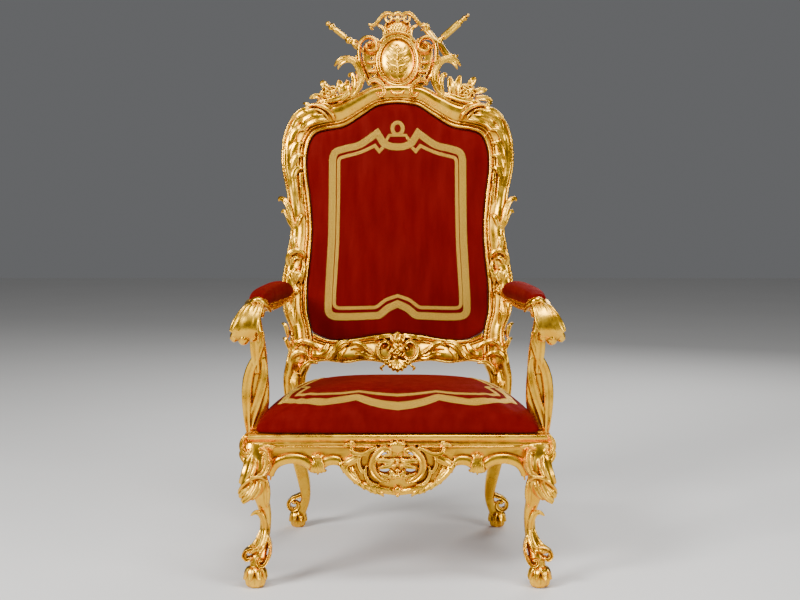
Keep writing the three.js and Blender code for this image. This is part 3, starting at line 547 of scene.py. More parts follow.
@dataclass(frozen=True)
class GiltFinish:
    """Burnished water gilding over red bole, with painted shade, darker and redder, where the carving is deep.
    """

    gold: tuple = rgba(0.84, 0.40, 0.012)
    worn: tuple = rgba(0.98, 0.56, 0.04)
    # Painted shade: dark red-brown laid into the carving's hollows.
    deep: tuple = rgba(0.27, 0.085, 0.004)
    # Darkest colour: flecks of grime in the deepest hollows, darkened further as painted shade.
    shade_and_grime: tuple = rgba(0.07, 0.012, 0.003)
    roughness: tuple[float, float] = (0.2, 0.36)
    leaf_laps: float = 26.0
    speckle: float = 190.0
    brushing: float = 60.0

    def make(self) -> bpy.types.Material:
        """The finish as a material.

        Returns:
            The material.
        """
        t = Tree("burnished_gilding")
        recess = t.attribute(RECESS)
        laps = t.noise(self.leaf_laps)
        grain = t.noise(self.speckle)
        base = t.blend(t.spread(laps, 0.35, 0.65), self.gold, self.worn)
        # Painted shade: the gold turns dark red-brown as the carving's hollows deepen.
        shade = t.blend(t.spread(recess, 0.52, 1.0), base, self.deep)
        # Flecks of grime and painted shade in the deepest hollows.
        shade_and_grime_share = t.maths("MULTIPLY", t.spread(recess, 0.7, 1.0), t.spread(grain, 0.35, 0.65))
        t.set("Base Color", t.blend(shade_and_grime_share, shade, self.shade_and_grime))
        t.set("Metallic", 1.0)
        rough = t.maths("ADD", t.spread(laps, 0.3, 0.7, *self.roughness), t.spread(recess, 0.5, 1.0, 0.0, 0.3))
        t.set("Roughness", rough)
        brushed = t.bump(t.noise(self.brushing), strength=0.2, distance=0.002)
        t.set("Normal", t.bump(grain, strength=0.18, distance=0.0006, under=brushed))
        return t.material


@dataclass(frozen=True)
class VelvetFinish:
    """Crimson silk velvet with the nap brushed in upright streaks."""

    pile: tuple = rgba(0.132, 0.0006, 0.0003)
    shadow: tuple = rgba(0.092, 0.0004, 0.0002)
    sheen: tuple = rgba(1.0, 0.05, 0.03)
    nap_streaks: float = 7.0
    nap_stretch: tuple[float, float, float] = (5.0, 5.0, 0.7)
    hairs: float = 900.0
    pressed_patches: float = 5.0

    def make(self) -> bpy.types.Material:
        """The finish as a material.

        Returns:
            The material.
        """
        t = Tree("crimson_velvet")
        streaks = t.noise(self.nap_streaks, self.nap_stretch, detail=4.0)
        hair = t.noise(self.hairs, (1.0, 1.0, 0.5), detail=1.0)
        patches = t.noise(self.pressed_patches)
        mixed = t.maths("ADD", t.maths("MULTIPLY", streaks, 0.7), t.maths("MULTIPLY", patches, 0.3))
        t.set("Base Color", t.blend(t.spread(mixed, 0.3, 0.7), self.shadow, self.pile))
        t.set("Roughness", t.spread(streaks, 0.3, 0.7, 0.95, 0.75))
        t.set("Sheen Weight", 0.12)
        t.set("Sheen Roughness", 0.35)
        t.set("Sheen Tint", self.sheen)
        t.set("Specular IOR Level", 0.08)
        nap = t.bump(streaks, strength=0.05, distance=0.004)
        t.set("Normal", t.bump(hair, strength=0.35, distance=0.0006, under=nap))
        return t.material


@dataclass(frozen=True)
class BraidFinish:
    """Gold metal thread woven as a diagonal braid, read along the ribbon's own length and width."""

    thread: tuple = rgba(0.80, 0.46, 0.03)
    light: tuple = rgba(1.0, 0.72, 0.12)
    # Dark colour between the threads: the weave's pattern, deepened with painted shade.
    gap: tuple = rgba(0.24, 0.08, 0.005)
    threads_per_metre: float = 420.0
    fibres: float = 700.0

    def make(self) -> bpy.types.Material:
        """The finish as a material.

        Returns:
            The material.
        """
        t = Tree("gold_braid")
        uv = t.add("UVMap", uv_map=LENGTH_AND_WIDTH).outputs[0]
        split = t.add("SeparateXYZ", {0: uv})
        along, across = split.outputs[0], split.outputs[1]
        lean = t.maths("ABSOLUTE", across)
        twill = [t.maths("SINE", t.maths("MULTIPLY", t.maths(op, along, lean), self.threads_per_metre * 6.283))
                 for op in ("ADD", "SUBTRACT")]
        weave = t.spread(t.maths("MULTIPLY", *twill), -0.6, 0.8)
        fibre = t.noise(self.fibres)
        tone = t.blend(t.spread(fibre, 0.3, 0.7), self.thread, self.light)
        # The weave's gaps take the dark colour as painted shade between the threads.
        t.set("Base Color", t.blend(t.spread(weave, 0.0, 0.5), self.gap, tone))
        t.set("Metallic", 0.75)
        t.set("Roughness", t.spread(fibre, 0.3, 0.7, 0.34, 0.52))
        t.set("Normal", t.bump(weave, strength=0.8, distance=0.0012))
        return t.material


@dataclass(frozen=True)
class FloorFinish:
    """Plain pale floor with the faintest unevenness."""

    pale: tuple = rgba(0.72, 0.71, 0.69)
    paler: tuple = rgba(0.76, 0.75, 0.73)

    def make(self) -> bpy.types.Material:
        """The finish as a material.

        Returns:
            The material.
        """
        t = Tree("pale_floor")
        t.set("Base Color", t.blend(t.noise(1.5), self.pale, self.paler))
        t.set("Roughness", 0.75)
        return t.material


class Finish(Enum):
    """The finishes of the chair, each with a short name."""

    GILT = "gilt_wood"
    VELVET = "velvet"
    BRAID = "gold_braid"


RECESS = "recess"
LENGTH_AND_WIDTH = "length_and_width"
# How a recess is found: the points are smoothed by this share at each turn, and the depth that they have moved
# is read after these turns, fine hollows first and then wide ones, each with this weight.
SMOOTHING = 0.65
DEPTH_READ_AFTER = (8, 24)
DEPTH_WEIGHT = 0.7
MATERIALS: dict[Finish, bpy.types.Material] = {}


def mix_finishes() -> None:
    """Makes each finish's material once."""
    for finish, recipe in ((Finish.GILT, GiltFinish()), (Finish.VELVET, VelvetFinish()),
                           (Finish.BRAID, BraidFinish())):
        MATERIALS[finish] = recipe.make()


# ------------------------------------------------------------------ making objects

def alone(obj: Piece) -> None:
    """Selects one object only and makes it active.

    Args:
        obj: The object.
    """
    bpy.ops.object.select_all(action="DESELECT")
    obj.select_set(True)
    bpy.context.view_layer.objects.active = obj


def apply_modifier(obj: Piece, kind: str, **settings) -> None:
    """Adds a modifier, sets it and applies it.

    Args:
        obj: The object.
        kind: Modifier type.
        **settings: Properties of the modifier.
    """
    alone(obj)
    modifier = obj.modifiers.new(kind.lower(), kind)
    for key, value in settings.items():
        setattr(modifier, key, value)
    bpy.ops.object.modifier_apply(modifier=modifier.name)


def thin_out(obj: Piece, triangles: int) -> None:
    """Keeps at most a number of triangles, fewest where the surface is flat, and shades it smooth.

    Args:
        obj: The object.
        triangles: Most triangles that it may keep.
    """
    share = triangles / max(1, sum(len(face.vertices) - 2 for face in obj.data.polygons))
    if share < 1:
        apply_modifier(obj, "DECIMATE", ratio=share)
    alone(obj)
    bpy.ops.object.shade_smooth()


def as_object(name: str, shells: Sequence[Shell], place: Change) -> Piece:
    """Skins as one object in the frame's place.

    Args:
        name: The object's name.
        shells: Skins in millimetres.
        place: Carries the skins' points to the chair's drawing.

    Returns:
        The object.
    """
    points = np.concatenate([shell.points for shell in shells])
    starts = np.cumsum([0] + [len(shell.points) for shell in shells[:-1]]).tolist()
    faces = [tuple(v + start for v in face) for shell, start in zip(shells, starts) for face in shell.faces]
    mesh = bpy.data.meshes.new(name)
    mesh.from_pydata(DATUM.world(place(points)).tolist(), [], faces)
    mesh.update()
    obj = bpy.data.objects.new(name, mesh)
    bpy.context.collection.objects.link(obj)
    return obj


def upright(points: Rows) -> Rows:
    """Points already on the chair's drawing, unchanged."""
    return points


def coordinates(mesh: bpy.types.Mesh) -> Rows:
    """A mesh's points.

    Args:
        mesh: The mesh.

    Returns:
        Rows of x, y and z.
    """
    found = np.empty(len(mesh.vertices) * 3)
    mesh.vertices.foreach_get("co", found)
    return found.reshape(-1, 3)


def mark_recesses(obj: Piece, reach: float = 0.0013) -> None:
    """Keeps on each point how deep it lies in the carving: 0.5 is level, 1 is deep and 0 is a sharp edge.

    Args:
        obj: The carved object.
        reach: Depth in metres that counts as fully deep.
    """
    mesh = obj.data
    at = coordinates(mesh)
    edges = np.empty(len(mesh.edges) * 2, dtype=np.int64)
    mesh.edges.foreach_get("vertices", edges)
    a, b = edges.reshape(-1, 2).T
    count = np.maximum(np.bincount(a, minlength=len(at)) + np.bincount(b, minlength=len(at)), 1)
    normals = np.empty(len(at) * 3)
    mesh.vertices.foreach_get("normal", normals)
    normals = normals.reshape(-1, 3)
    smooth = at.copy()
    depth = np.zeros(len(at))
    for turn in range(1, DEPTH_READ_AFTER[-1] + 1):
        around = np.stack([np.bincount(a, smooth[b, k], len(at)) + np.bincount(b, smooth[a, k], len(at))
                           for k in range(3)], axis=1)
        smooth = (1 - SMOOTHING) * smooth + SMOOTHING * around / count[:, None]
        if turn in DEPTH_READ_AFTER:
            depth += np.einsum("ij,ij->i", smooth - at, normals) * DEPTH_WEIGHT
    level = np.clip(0.5 + 0.5 * depth / reach, 0, 1)
    # The gilt finish darkens the gold by this level as painted shade in the hollows.
    mesh.attributes.new(RECESS, "FLOAT", "POINT").data.foreach_set("value", level)


def dress(obj: Piece, finish: Finish, nodes: Sequence[str]) -> Piece:
    """Gives a finished piece its material and its body, and hides the CAD nodes that it stands for.

    Args:
        obj: The piece.
        finish: Its finish.
        nodes: The CAD nodes.

    Returns:
        The piece.
    """
    obj.data.materials.clear()
    obj.data.materials.append(MATERIALS[finish])
    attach(obj, BODY)
    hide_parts(*nodes)
    LOG.info("%s: %d faces", obj.name, len(obj.data.polygons))
    return obj


def carve(name: str, shells: Sequence[Shell], node: str, place: Change = upright,
          grain: float = 1.7, triangles: int = 100000) -> Piece:
    """Fuses skins into one carved and gilded piece, as the gesso coat does.

    Args:
        name: The piece's name.
        shells: Overlapping skins in millimetres.
        node: The CAD node that the piece stands for.
        place: Carries the skins' points to the chair's drawing.
        grain: Smallest detail kept, in millimetres.
        triangles: Most triangles that the piece may keep.

    Returns:
        The piece.
    """
    obj = as_object(name, shells, place)
    apply_modifier(obj, "REMESH", mode="VOXEL", voxel_size=grain * MM, use_smooth_shade=True)
    apply_modifier(obj, "SMOOTH", factor=0.5, iterations=2)
    mark_recesses(obj)
    thin_out(obj, triangles)
    return dress(obj, Finish.GILT, [node])


def mirrored_copy(obj: Piece, name: str, nodes: Sequence[str]) -> Piece:
    """The other hand of a piece, with its own mesh.

    Args:
        obj: The finished piece.
        name: Name of the copy.
        nodes: CAD nodes that the copy stands for.

    Returns:
        The copy.
    """
    finish = next(f for f, material in MATERIALS.items() if obj.data.materials[0] == material)
    copy = bpy.data.objects.new(name, obj.data.copy())
    bpy.context.collection.objects.link(copy)
    at = coordinates(copy.data) * np.array([-1.0, 1.0, 1.0])
    copy.data.vertices.foreach_set("co", at.ravel())
    copy.data.flip_normals()
    copy.data.update()
    return dress(copy, finish, nodes)


# ------------------------------------------------------------------ frame of the back

# Fine section of the frame: share of the way from the sight edge to the outer edge, and depth behind the front.
FRAME_PROFILE = [(0.95, 40), (1.0, 30), (1.0, 8), (1.0, -4), (0.985, -9), (0.96, -11), (0.935, -10),
                 (0.92, -6.5), (0.905, -6), (0.885, -10), (0.85, -13), (0.78, -15), (0.69, -15.2), (0.6, -13.5),
                 (0.5, -10), (0.42, -6), (0.35, -2.8), (0.31, -1.2), (0.27, 0.4), (0.255, -3.5), (0.225, -5),
                 (0.205, 0.8), (0.18, 2.2), (0.16, -2), (0.13, -6.5), (0.09, -8.5), (0.045, -8), (0.012, -4),
                 (0.0, 4), (0.0, 40)]


@dataclass
class FrameMember:
    """A moulded member of the back, between a sight edge and an outer edge.

    Attributes:
        stations: Pairs of sight-edge and outer-edge points, across and up, for the right half.
    """

    stations: Sequence[tuple[Point, Point]]

    def edges(self, station: Rows) -> tuple[Rows, Rows]:
        """Both edges of the member.

        Args:
            station: Station numbers, below zero for the left half.

        Returns:
            Rows of across and up, for the sight edge and for the outer edge.
        """
        t = np.abs(station) / (len(self.stations) - 1)
        sign = np.where(station < 0, -1.0, 1.0)[:, None]
        found = [spline([pair[e] for pair in self.stations], t) for e in (0, 1)]
        return tuple(edge * np.concatenate([sign, np.ones_like(sign)], axis=1) for edge in found)

    def line(self, share: float, first: float, last: float, rises: Sequence[float]) -> list[Point]:
        """Points along the left of the member, with the rise at each."""
        inner, outer = self.edges(np.linspace(-first, -last, len(rises)))
        return [(*p, rise) for p, rise in zip((inner + (outer - inner) * share).tolist(), rises)]

    def shell(self, start: float, end: float, count: int,
              height: Change = np.ones_like) -> Shell:
        """The moulding between two station numbers.

        Args:
            start: First station number.
            end: Last station number.
            count: Number of sections.
            height: Share of the moulding's full relief at a station number.

        Returns:
            The skin on the flat back plane.
        """
        at = np.linspace(start, end, count)
        inner, outer = self.edges(at)
        share, depth = np.array(FRAME_PROFILE).T
        uv = inner[:, None] + (outer - inner)[:, None] * share[None, :, None]
        rise = np.where(depth < 8, (depth - 8) * height(np.abs(at))[:, None] + 8, depth)
        return skin(np.stack([uv[..., 0], np.broadcast_to(rise, uv.shape[:2]), uv[..., 1]], axis=-1))


def fronds(rows: Iterable[tuple], face: Point = FRONT, place: Callable = flat, **shape) -> list[Shell]:
    """Plumes from rows that each give a path, a half width, a rise and perhaps the number of flutes.

    Args:
        rows: One row for each plume.
        face: The way that they face.
        place: Turns the drawn points into points in space.
        **shape: Passed on to plume.

    Returns:
        The plumes.
    """
    return [plume(place(path), width, rise, face, flutes=flutes[0] if flutes else 1, **shape)
            for path, width, rise, *flutes in rows]


def petals(rows: Iterable[tuple], face: Point = FRONT) -> list[Shell]:
    """Plain pointed leaves from rows of a path, a half width and a rise."""
    return [blade(flat(path), width, rise, face) for path, width, rise in rows]


def scroll(points: Line, band: float, depth: float, ends: tuple[float, float] = (0.5, 0.5),
           eyes: tuple[float, float] = (0.0, 0.0), section: Rows = CHANNEL,
           place: Callable = flat, face: Point = FRONT) -> list[Shell]:
    """A band laid along drawn points, narrower at its ends, with a round eye where one is wanted.

    Args:
        points: Points of its middle line, across, up and rise.
        band: Half width.
        depth: Half depth.
        ends: Width of each end as a share of the band.
        eyes: Radius of an eye at each end, or 0.
        section: Unit section of the band.
        place: Turns the drawn points into points in space.
        face: The way that it faces.

    Returns:
        The band and its eyes.
    """
    count = 14 * len(points)
    share = np.interp(steps(len(points)), [0, 0.3, 0.7, 1], [ends[0], 1, 1, ends[1]])
    path = place(points)
    made = [sweep(path, np.stack([band * share, depth * (0.6 + 0.4 * share)], axis=1), section, face, count)]
    return made + [ball(p, (eye, depth * 0.95, eye)) for eye, p in zip(eyes, (path[0], path[-1])) if eye]


def rope(points: Line, radius: float, depth: float | None = None,
         ends: tuple[float, float] = (0.6, 0.6)) -> list[Shell]:
    """A smooth rounded rib along drawn points."""
    return scroll(points, radius, depth or radius, ends, section=loop_section(12))


def shell_fan(u: float, v: float, rise: float, radius: float, ribs: int = 7, spread: float = 2.6,
              turn: float = math.pi / 2) -> list[Shell]:
    """A scallop shell of rounded ribs round a hinge.

    Args:
        u: Hinge across.
        v: Hinge up.
        rise: Height above the plane.
        radius: Length of the middle rib.
        ribs: Number of ribs.
        spread: Angle in radians that the ribs cover.
        turn: Direction of the middle rib.

    Returns:
        The ribs.
    """
    made = []
    for k in range(ribs):
        share = 2 * k / (ribs - 1) - 1
        a = turn + share * spread / 2
        reach = radius * (1 - 0.16 * share * share)
        line = [(u + d * reach * math.cos(a), v + d * reach * math.sin(a), rise + h) for d, h in
                ((0.05, 1), (0.45, 5), (0.8, 8), (1.0, 4))]
        half = 0.6 * radius * spread / ribs
        made.append(sweep(flat(line), [(half * 0.2, 5), (half * 0.5, 6), (half * 0.9, 7), (half * 0.55, 4)],
                          loop_section(10), count=12))
    return made


@dataclass
class BackFrame:
    """The leaning frame of the back: crest rail, two stiles in one with the rear legs, and the lower rail."""

    crest_joint: float = 5.2
    foot_x: float = 313.0
    foot_y: float = 330.0
    ball_height: float = 44.0
    side: FrameMember = field(default_factory=lambda: FrameMember([
        ((0, 943), (0, 1004)), ((62, 934), (72, 998)), ((112, 902), (138, 966)), ((168, 867), (196, 940)),
        ((228, 855), (262, 934)), ((262, 840), (322, 908)), ((281, 796), (356, 846)), ((284, 730), (363, 750)),
        ((273, 640), (345, 650)), ((266, 545), (333, 545)), ((270, 462), (346, 455)), ((279, 370), (359, 370)),
        ((279, 290), (353, 292)), ((268, 236), (331, 228)), ((261, 180), (334, 182)), ((266, 126), (344, 130)),
        ((283, 84), (352, 80)), ((284, 20), (348, 20))]))
    lower: FrameMember = field(default_factory=lambda: FrameMember([
        ((0, 220), (0, 108)), ((60, 216), (48, 128)), ((115, 206), (105, 134)), ((165, 200), (160, 127)),
        ((215, 201), (222, 133)), ((262, 222), (262, 127))]))

    def corner(self) -> list[Shell]:
        """The fluted leaf that wraps the left corner of the crest, up to its curled lip.

        Returns:
            The skins.
        """
        flutes = [(self.side.line(share, 5.25, last, (5, 11, 15, 17, 12)), width, 9)
                  for share, last, width in ((0.46, 3.6, 15), (0.68, 3.85, 15), (0.9, 4.25, 11))]
        made = fronds(flutes, root=0.95, widest=0.5, point=0.6)
        made += rope([(-288, 930, 9), (-262, 934, 16), (-240, 929, 20), (-219, 917, 21), (-204, 901, 18),
                      (-199, 886, 9)],
                     7, 10)
        made += rope([(-288, 917, 12), (-262, 919, 19), (-240, 913, 21), (-223, 899, 20), (-214, 884, 13)],
                     3.5, 7)
        return made + fronds([
            ([(-324, 850, 8), (-324, 866, 13), (-315, 882, 15), (-298, 892, 14), (-282, 894, 9)], 10, 5),
            ([(-304, 852, 10), (-300, 866, 14), (-288, 875, 14), (-272, 876, 9)], 7, 5),
            ([(-272, 925, 10), (-284, 936, 15), (-298, 941, 6)], 6, 6),
        ])

    def roses(self) -> list[Shell]:
        """The rose, bud and leaves on each side of the crest; the sprays differ a little left and right.

        Returns:
            The skins.
        """
        common = flower(-216, 970, 5, 27, 15) + flower(216, 974, 5, 26, 15)
        plumes = fronds([
            ([(-140, 972, 2), (-168, 962, 12), (-200, 950, 15), (-232, 946, 12), (-254, 950, 6)], 9, 8),
            ([(-196, 912, 2), (-214, 926, 12), (-240, 934, 14), (-262, 930, 6)], 8, 7)])
        left = petals([
            ([(-222, 984, 4), (-232, 1000, 13), (-240, 1012, 5)], 10, 7),
            ([(-240, 962, 4), (-258, 962, 12), (-276, 957, 4)], 8, 6),
            ([(-234, 948, 4), (-248, 938, 12), (-258, 926, 4)], 7, 6),
            ([(-174, 966, 6), (-180, 992, 16), (-185, 1014, 6)], 12, 7),
            ([(-164, 966, 6), (-159, 992, 16), (-158, 1014, 6)], 11, 7)])
        left += fronds([([(-194, 950, 4), (-172, 956, 13), (-155, 972, 15), (-148, 994, 8)], 10, 8, 2)])
        right = petals([
            ([(172, 962, 4), (168, 994, 15), (164, 1026, 4)], 12, 8),
            ([(178, 962, 4), (188, 996, 14), (197, 1030, 4)], 12, 8),
            ([(222, 990, 4), (234, 1008, 13), (244, 1024, 4)], 11, 7),
            ([(240, 976, 4), (260, 980, 13), (280, 984, 4)], 10, 7),
            ([(244, 958, 4), (272, 956, 12), (298, 948, 4)], 9, 7),
            ([(232, 950, 4), (252, 938, 12), (270, 926, 4)], 8, 6)])
        bed = rope([(-140, 974, -8), (-168, 958, -6), (-200, 944, -5), (-232, 938, -5), (-262, 932, -6)], 9, 8)
        cups = both(bed) + [ball((-168, -8, 986), (17, 11, 20)), ball((176, -6, 966), (12, 9, 11))]
        return common + both(plumes) + left + right + cups

    def crest(self) -> Piece:
        """The crest rail with its corner leaves and roses.

        Returns:
            The piece.
        """
        shells = [self.side.shell(-self.crest_joint - 0.03, self.crest_joint + 0.03, 150)]
        return carve("crest_rail_gilt", shells + both(self.corner()) + self.roses(), "crest_rail",
                     DATUM.lean_back, grain=1.6, triangles=75000)

    def lower_rail(self) -> Piece:
        """The lower rail with its leaf sprays, rosette and shell.

        Returns:
            The piece.
        """
        half = fronds([
            ([(-70, 150, 2), (-92, 164, 12), (-112, 182, 17), (-134, 188, 17), (-146, 176, 10)], 11, 8, 2),
            ([(-66, 144, 2), (-90, 146, 11), (-114, 156, 14), (-132, 152, 10)], 8, 7),
            ([(-150, 192, 2), (-172, 186, 12), (-190, 168, 17), (-204, 146, 16), (-222, 138, 8)], 12, 9, 2),
            ([(-160, 174, 4), (-176, 156, 14), (-178, 138, 12), (-168, 128, 6)], 8, 7),
            ([(-214, 186, 4), (-224, 168, 13), (-240, 158, 13), (-254, 164, 6)], 9, 7),
            ([(-16, 214, 2), (-34, 210, 10), (-56, 206, 12), (-74, 196, 6)], 7, 6),
        ]) + scroll([(-20, 150, 8), (-30, 140, 12), (-46, 140, 15), (-58, 152, 16), (-60, 172, 16),
                     (-52, 188, 16), (-36, 194, 15), (-25, 184, 13), (-30, 172, 12)], 5.5, 10, (0.5, 0.5),
                    (0, 5)) \
          + rope([(-34, 128, 10), (-44, 118, 14), (-52, 112, 12), (-46, 104, 10)], 4, 7) \
          + rope([(-12, 126, 12), (-28, 122, 14), (-38, 132, 13), (-34, 142, 10)], 4, 7)
        shells = [self.lower.shell(-5, 5, 110, lambda t: 0.8 + 0.04 * t)] + both(half)
        shells += flower(0, 164, 10, 22, 13)
        shells += shell_fan(0, 140, 8, 40, 7, 2.3, -math.pi / 2)
        shells += petals([([(0, 180, 8), (0, 200, 18), (0, 222, 6)], 11, 8),
                          ([(-4, 182, 6), (-14, 198, 14), (-20, 212, 6)], 7, 6),
                          ([(4, 182, 6), (14, 198, 14), (20, 212, 6)], 7, 6)])
        return carve("back_bottom_rail_gilt", shells, "back_bottom_rail", DATUM.lean_back, grain=1.6,
                     triangles=60000)

    def stile_leaves(self) -> list[Shell]:
        """Leaves, sprigs and the shell on the left stile.

        Returns:
            The skins.
        """
        upper = [
            ([(-335, 784, 5), (-333, 818, 11), (-326, 842, 14), (-311, 857, 15), (-290, 856, 8)], 12, 5, 2),
            ([(-334, 742, 5), (-331, 776, 11), (-323, 801, 14), (-310, 815, 15), (-292, 813, 8)], 11, 5, 2),
            ([(-331, 706, 5), (-328, 738, 11), (-321, 762, 14), (-309, 775, 14), (-295, 773, 8)], 10, 5, 2),
            ([(-328, 668, 5), (-325, 700, 11), (-318, 724, 13), (-308, 735, 13), (-296, 732, 7)], 9, 5),
        ]
        flutes = [
            ([(-346, 812, 10), (-348, 750, 12), (-336, 680, 12), (-326, 620, 4)], 8, 5),
            ([(-322, 712, 11), (-318, 670, 12), (-311, 620, 9), (-306, 590, 4)], 8, 5),
            ([(-302, 720, 9), (-300, 670, 9), (-296, 620, 4)], 5, 4),
        ]
        sprigs = [
            ([(-318, 540, 6), (-330, 574, 15), (-338, 606, 17), (-350, 630, 14), (-366, 640, 6),
              (-370, 630, 2)], 9, 8, 2),
            ([(-320, 536, 6), (-334, 560, 14), (-342, 582, 14), (-354, 600, 8), (-362, 594, 2)], 7, 7),
            ([(-316, 540, 6), (-310, 562, 14), (-302, 580, 15), (-290, 588, 8)], 7, 7),
            ([(-318, 536, 4), (-322, 508, 13), (-318, 480, 12), (-310, 456, 4)], 8, 7),
        ]
        arm_joint = [
            ([(-336, 424, 4), (-340, 448, 14), (-330, 468, 20), (-308, 474, 20), (-290, 462, 14),
              (-288, 450, 6)], 9, 8, 2),
            ([(-322, 424, 6), (-326, 440, 14), (-316, 452, 18), (-302, 448, 10)], 7, 7),
            ([(-300, 372, 4), (-294, 400, 13), (-290, 426, 12), (-296, 446, 4)], 7, 7),
        ]
        under = [
            ([(-322, 330, 6), (-326, 296, 15), (-322, 262, 14), (-312, 226, 4)], 12, 8, 2),
            ([(-338, 206, 2), (-340, 226, 12), (-346, 244, 14), (-357, 250, 4)], 7, 7),
            ([(-334, 170, 2), (-338, 186, 12), (-344, 200, 14), (-353, 204, 4)], 7, 7),
            ([(-318, 160, 4), (-312, 182, 14), (-292, 194, 20), (-266, 188, 20), (-246, 174, 14),
              (-236, 166, 6)], 9, 8, 2),
            ([(-334, 120, 2), (-324, 146, 13), (-304, 160, 19), (-282, 154, 18), (-264, 134, 8)], 9, 8, 2),
            ([(-300, 92, 2), (-290, 114, 12), (-268, 130, 16), (-244, 126, 12)], 8, 7),
            ([(-312, 100, 6), (-318, 70, 14), (-316, 40, 12), (-314, 22, 4)], 13, 8, 2),
        ]
        hung = {"root": 0.4, "widest": 0.45, "point": 0.18}
        made = fronds(upper + sprigs + arm_joint + under, **hung) + fronds(flutes, root=0.9, widest=0.2)
        return made + shell_fan(-320, 364, 4, 56, 5, 1.1) + shell_fan(-320, 372, 4, 34, 5, 1.3, -math.pi / 2)

    def rear_leg(self) -> list[Shell]:
        """The left rear leg, raked back to a ball foot, in one with the stile.

        Returns:
            The skins.
        """
        path = [(-316, 257, 414), (-316, 258, 350), (-311, 268, 270), (-302, 288, 205), (-291, 306, 140),
                (-288, 318, 92), (-302, 326, 56), (-313, 330, 34)]
        sizes = [(31, 32), (30, 29), (25, 25), (21, 22), (18, 19), (14, 17), (17, 17), (19, 18)]
        ring = [(-300, 104, 2), (-316, 98, 4), (-330, 92, 6), (-342, 78, 6), (-338, 62, 6), (-324, 57, 6),
                (-313, 66, 6), (-315, 79, 6), (-325, 80, 6)]
        scroll_foot = [shell.moved(lambda p: p + np.array([0.0, 322.0, 0.0])) for shell in
                       scroll(ring, 6, 15, (1.2, 0.7), (0, 7))]
        return [sweep(path, sizes, loop_section(28, 4.0), count=60), block((-347, 225, 340), (-285, 268, 412)),
                melon((-self.foot_x, self.foot_y, 0), 25, self.ball_height)] \
            + collar((-self.foot_x, self.foot_y, self.ball_height), 23) + scroll_foot

    def stile(self) -> Piece:
        """The left stile with its rear leg.

        Returns:
            The piece.
        """
        last = len(self.side.stations) - 1
        moulding = self.side.shell(-last, -self.crest_joint + 0.03, 220,
                                   lambda t: np.clip((last - t) / 2, 0.05, 1))
        leant = [shell.moved(DATUM.lean_back) for shell in [moulding] + self.stile_leaves()]
        return carve("rear_leg_stile_gilt_left", leant + self.rear_leg(), "rear_leg_stile_left",
                     grain=1.8, triangles=85000)

    def build(self) -> list[Piece]:
        """All pieces of the frame.

        Returns:
            The pieces.
        """
        stile = self.stile()
        other = mirrored_copy(stile, "rear_leg_stile_gilt_right", ["rear_leg_stile_right"])
        return [self.crest(), self.lower_rail(), stile, other]


# ------------------------------------------------------------------ crest ornament

def turns_left(a: Point, b: Point, c: Point) -> bool:
    """Whether three points run anticlockwise."""
    return (b[0] - a[0]) * (c[1] - a[1]) - (b[1] - a[1]) * (c[0] - a[0]) > 0


def board(outline: Line, front: float, rear: float, holes: Sequence[Line] = ()) -> Shell:
    """A flat board on an upright plane, cut to an outline and pierced.

    Args:
        outline: Corner points once round, across and up.
        front: Depth of its face.
        rear: Depth of its back.
        holes: Corner points of each piercing.

    Returns:
        The skin.
    """
    loops = [np.asarray(loop, float) for loop in (outline, *holes)]
    flat_points = np.concatenate(loops)
    count = len(flat_points)
    points = np.array([(x, depth, z) for depth in (front, rear) for x, z in flat_points])
    faces = []
    for tri in tessellate_polygon([[Vector((x, z, 0)) for x, z in loop] for loop in loops]):
        a, b, c = tri if turns_left(*(flat_points[k] for k in tri)) else tri[::-1]
        faces += [(a, b, c), (c + count, b + count, a + count)]
    start = 0
    for number, loop in enumerate(loops):
        size = len(loop)
        turned = sum(x0 * z1 - x1 * z0 for (x0, z0), (x1, z1) in zip(loop, np.roll(loop, -1, axis=0))) > 0
        for k in range(size):
            i, j = start + k, start + (k + 1) % size
            wall = (j, i, i + count, j + count)
            faces.append(wall if turned == (number == 0) else wall[::-1])
        start += size
    return Shell(points, faces)


def oval(u: float, v: float, half_u: float, half_v: float, count: int = 24) -> list[Point]:
    """Points round an oval, across and up."""
    turn = np.linspace(0, 2 * math.pi, count, False)
    return [(u + half_u * math.cos(a), v + half_v * math.sin(a)) for a in turn]


def collar(centre: Point, radius: float, leaves: int = 8) -> list[Shell]:
    """A ring of leaf tips that hangs over a ball foot.

    Args:
        centre: Middle of the ring.
        radius: Its radius.
        leaves: Number of leaf tips.

    Returns:
        The leaf tips.
    """
    x, y, z = centre
    made = []
    for k in range(leaves):
        a = 2 * math.pi * (k + 0.5) / leaves
        c, s = math.cos(a), math.sin(a)
        path = [(x + c * radius * r, y + s * radius * r, z + h) for r, h in
                ((0.3, 6), (0.72, 4), (1.0, -5), (1.14, -17), (1.28, -26))]
        made.append(plume(path, radius * 0.34, 4.5, (c, s, 0.4), bed=7))
    return made


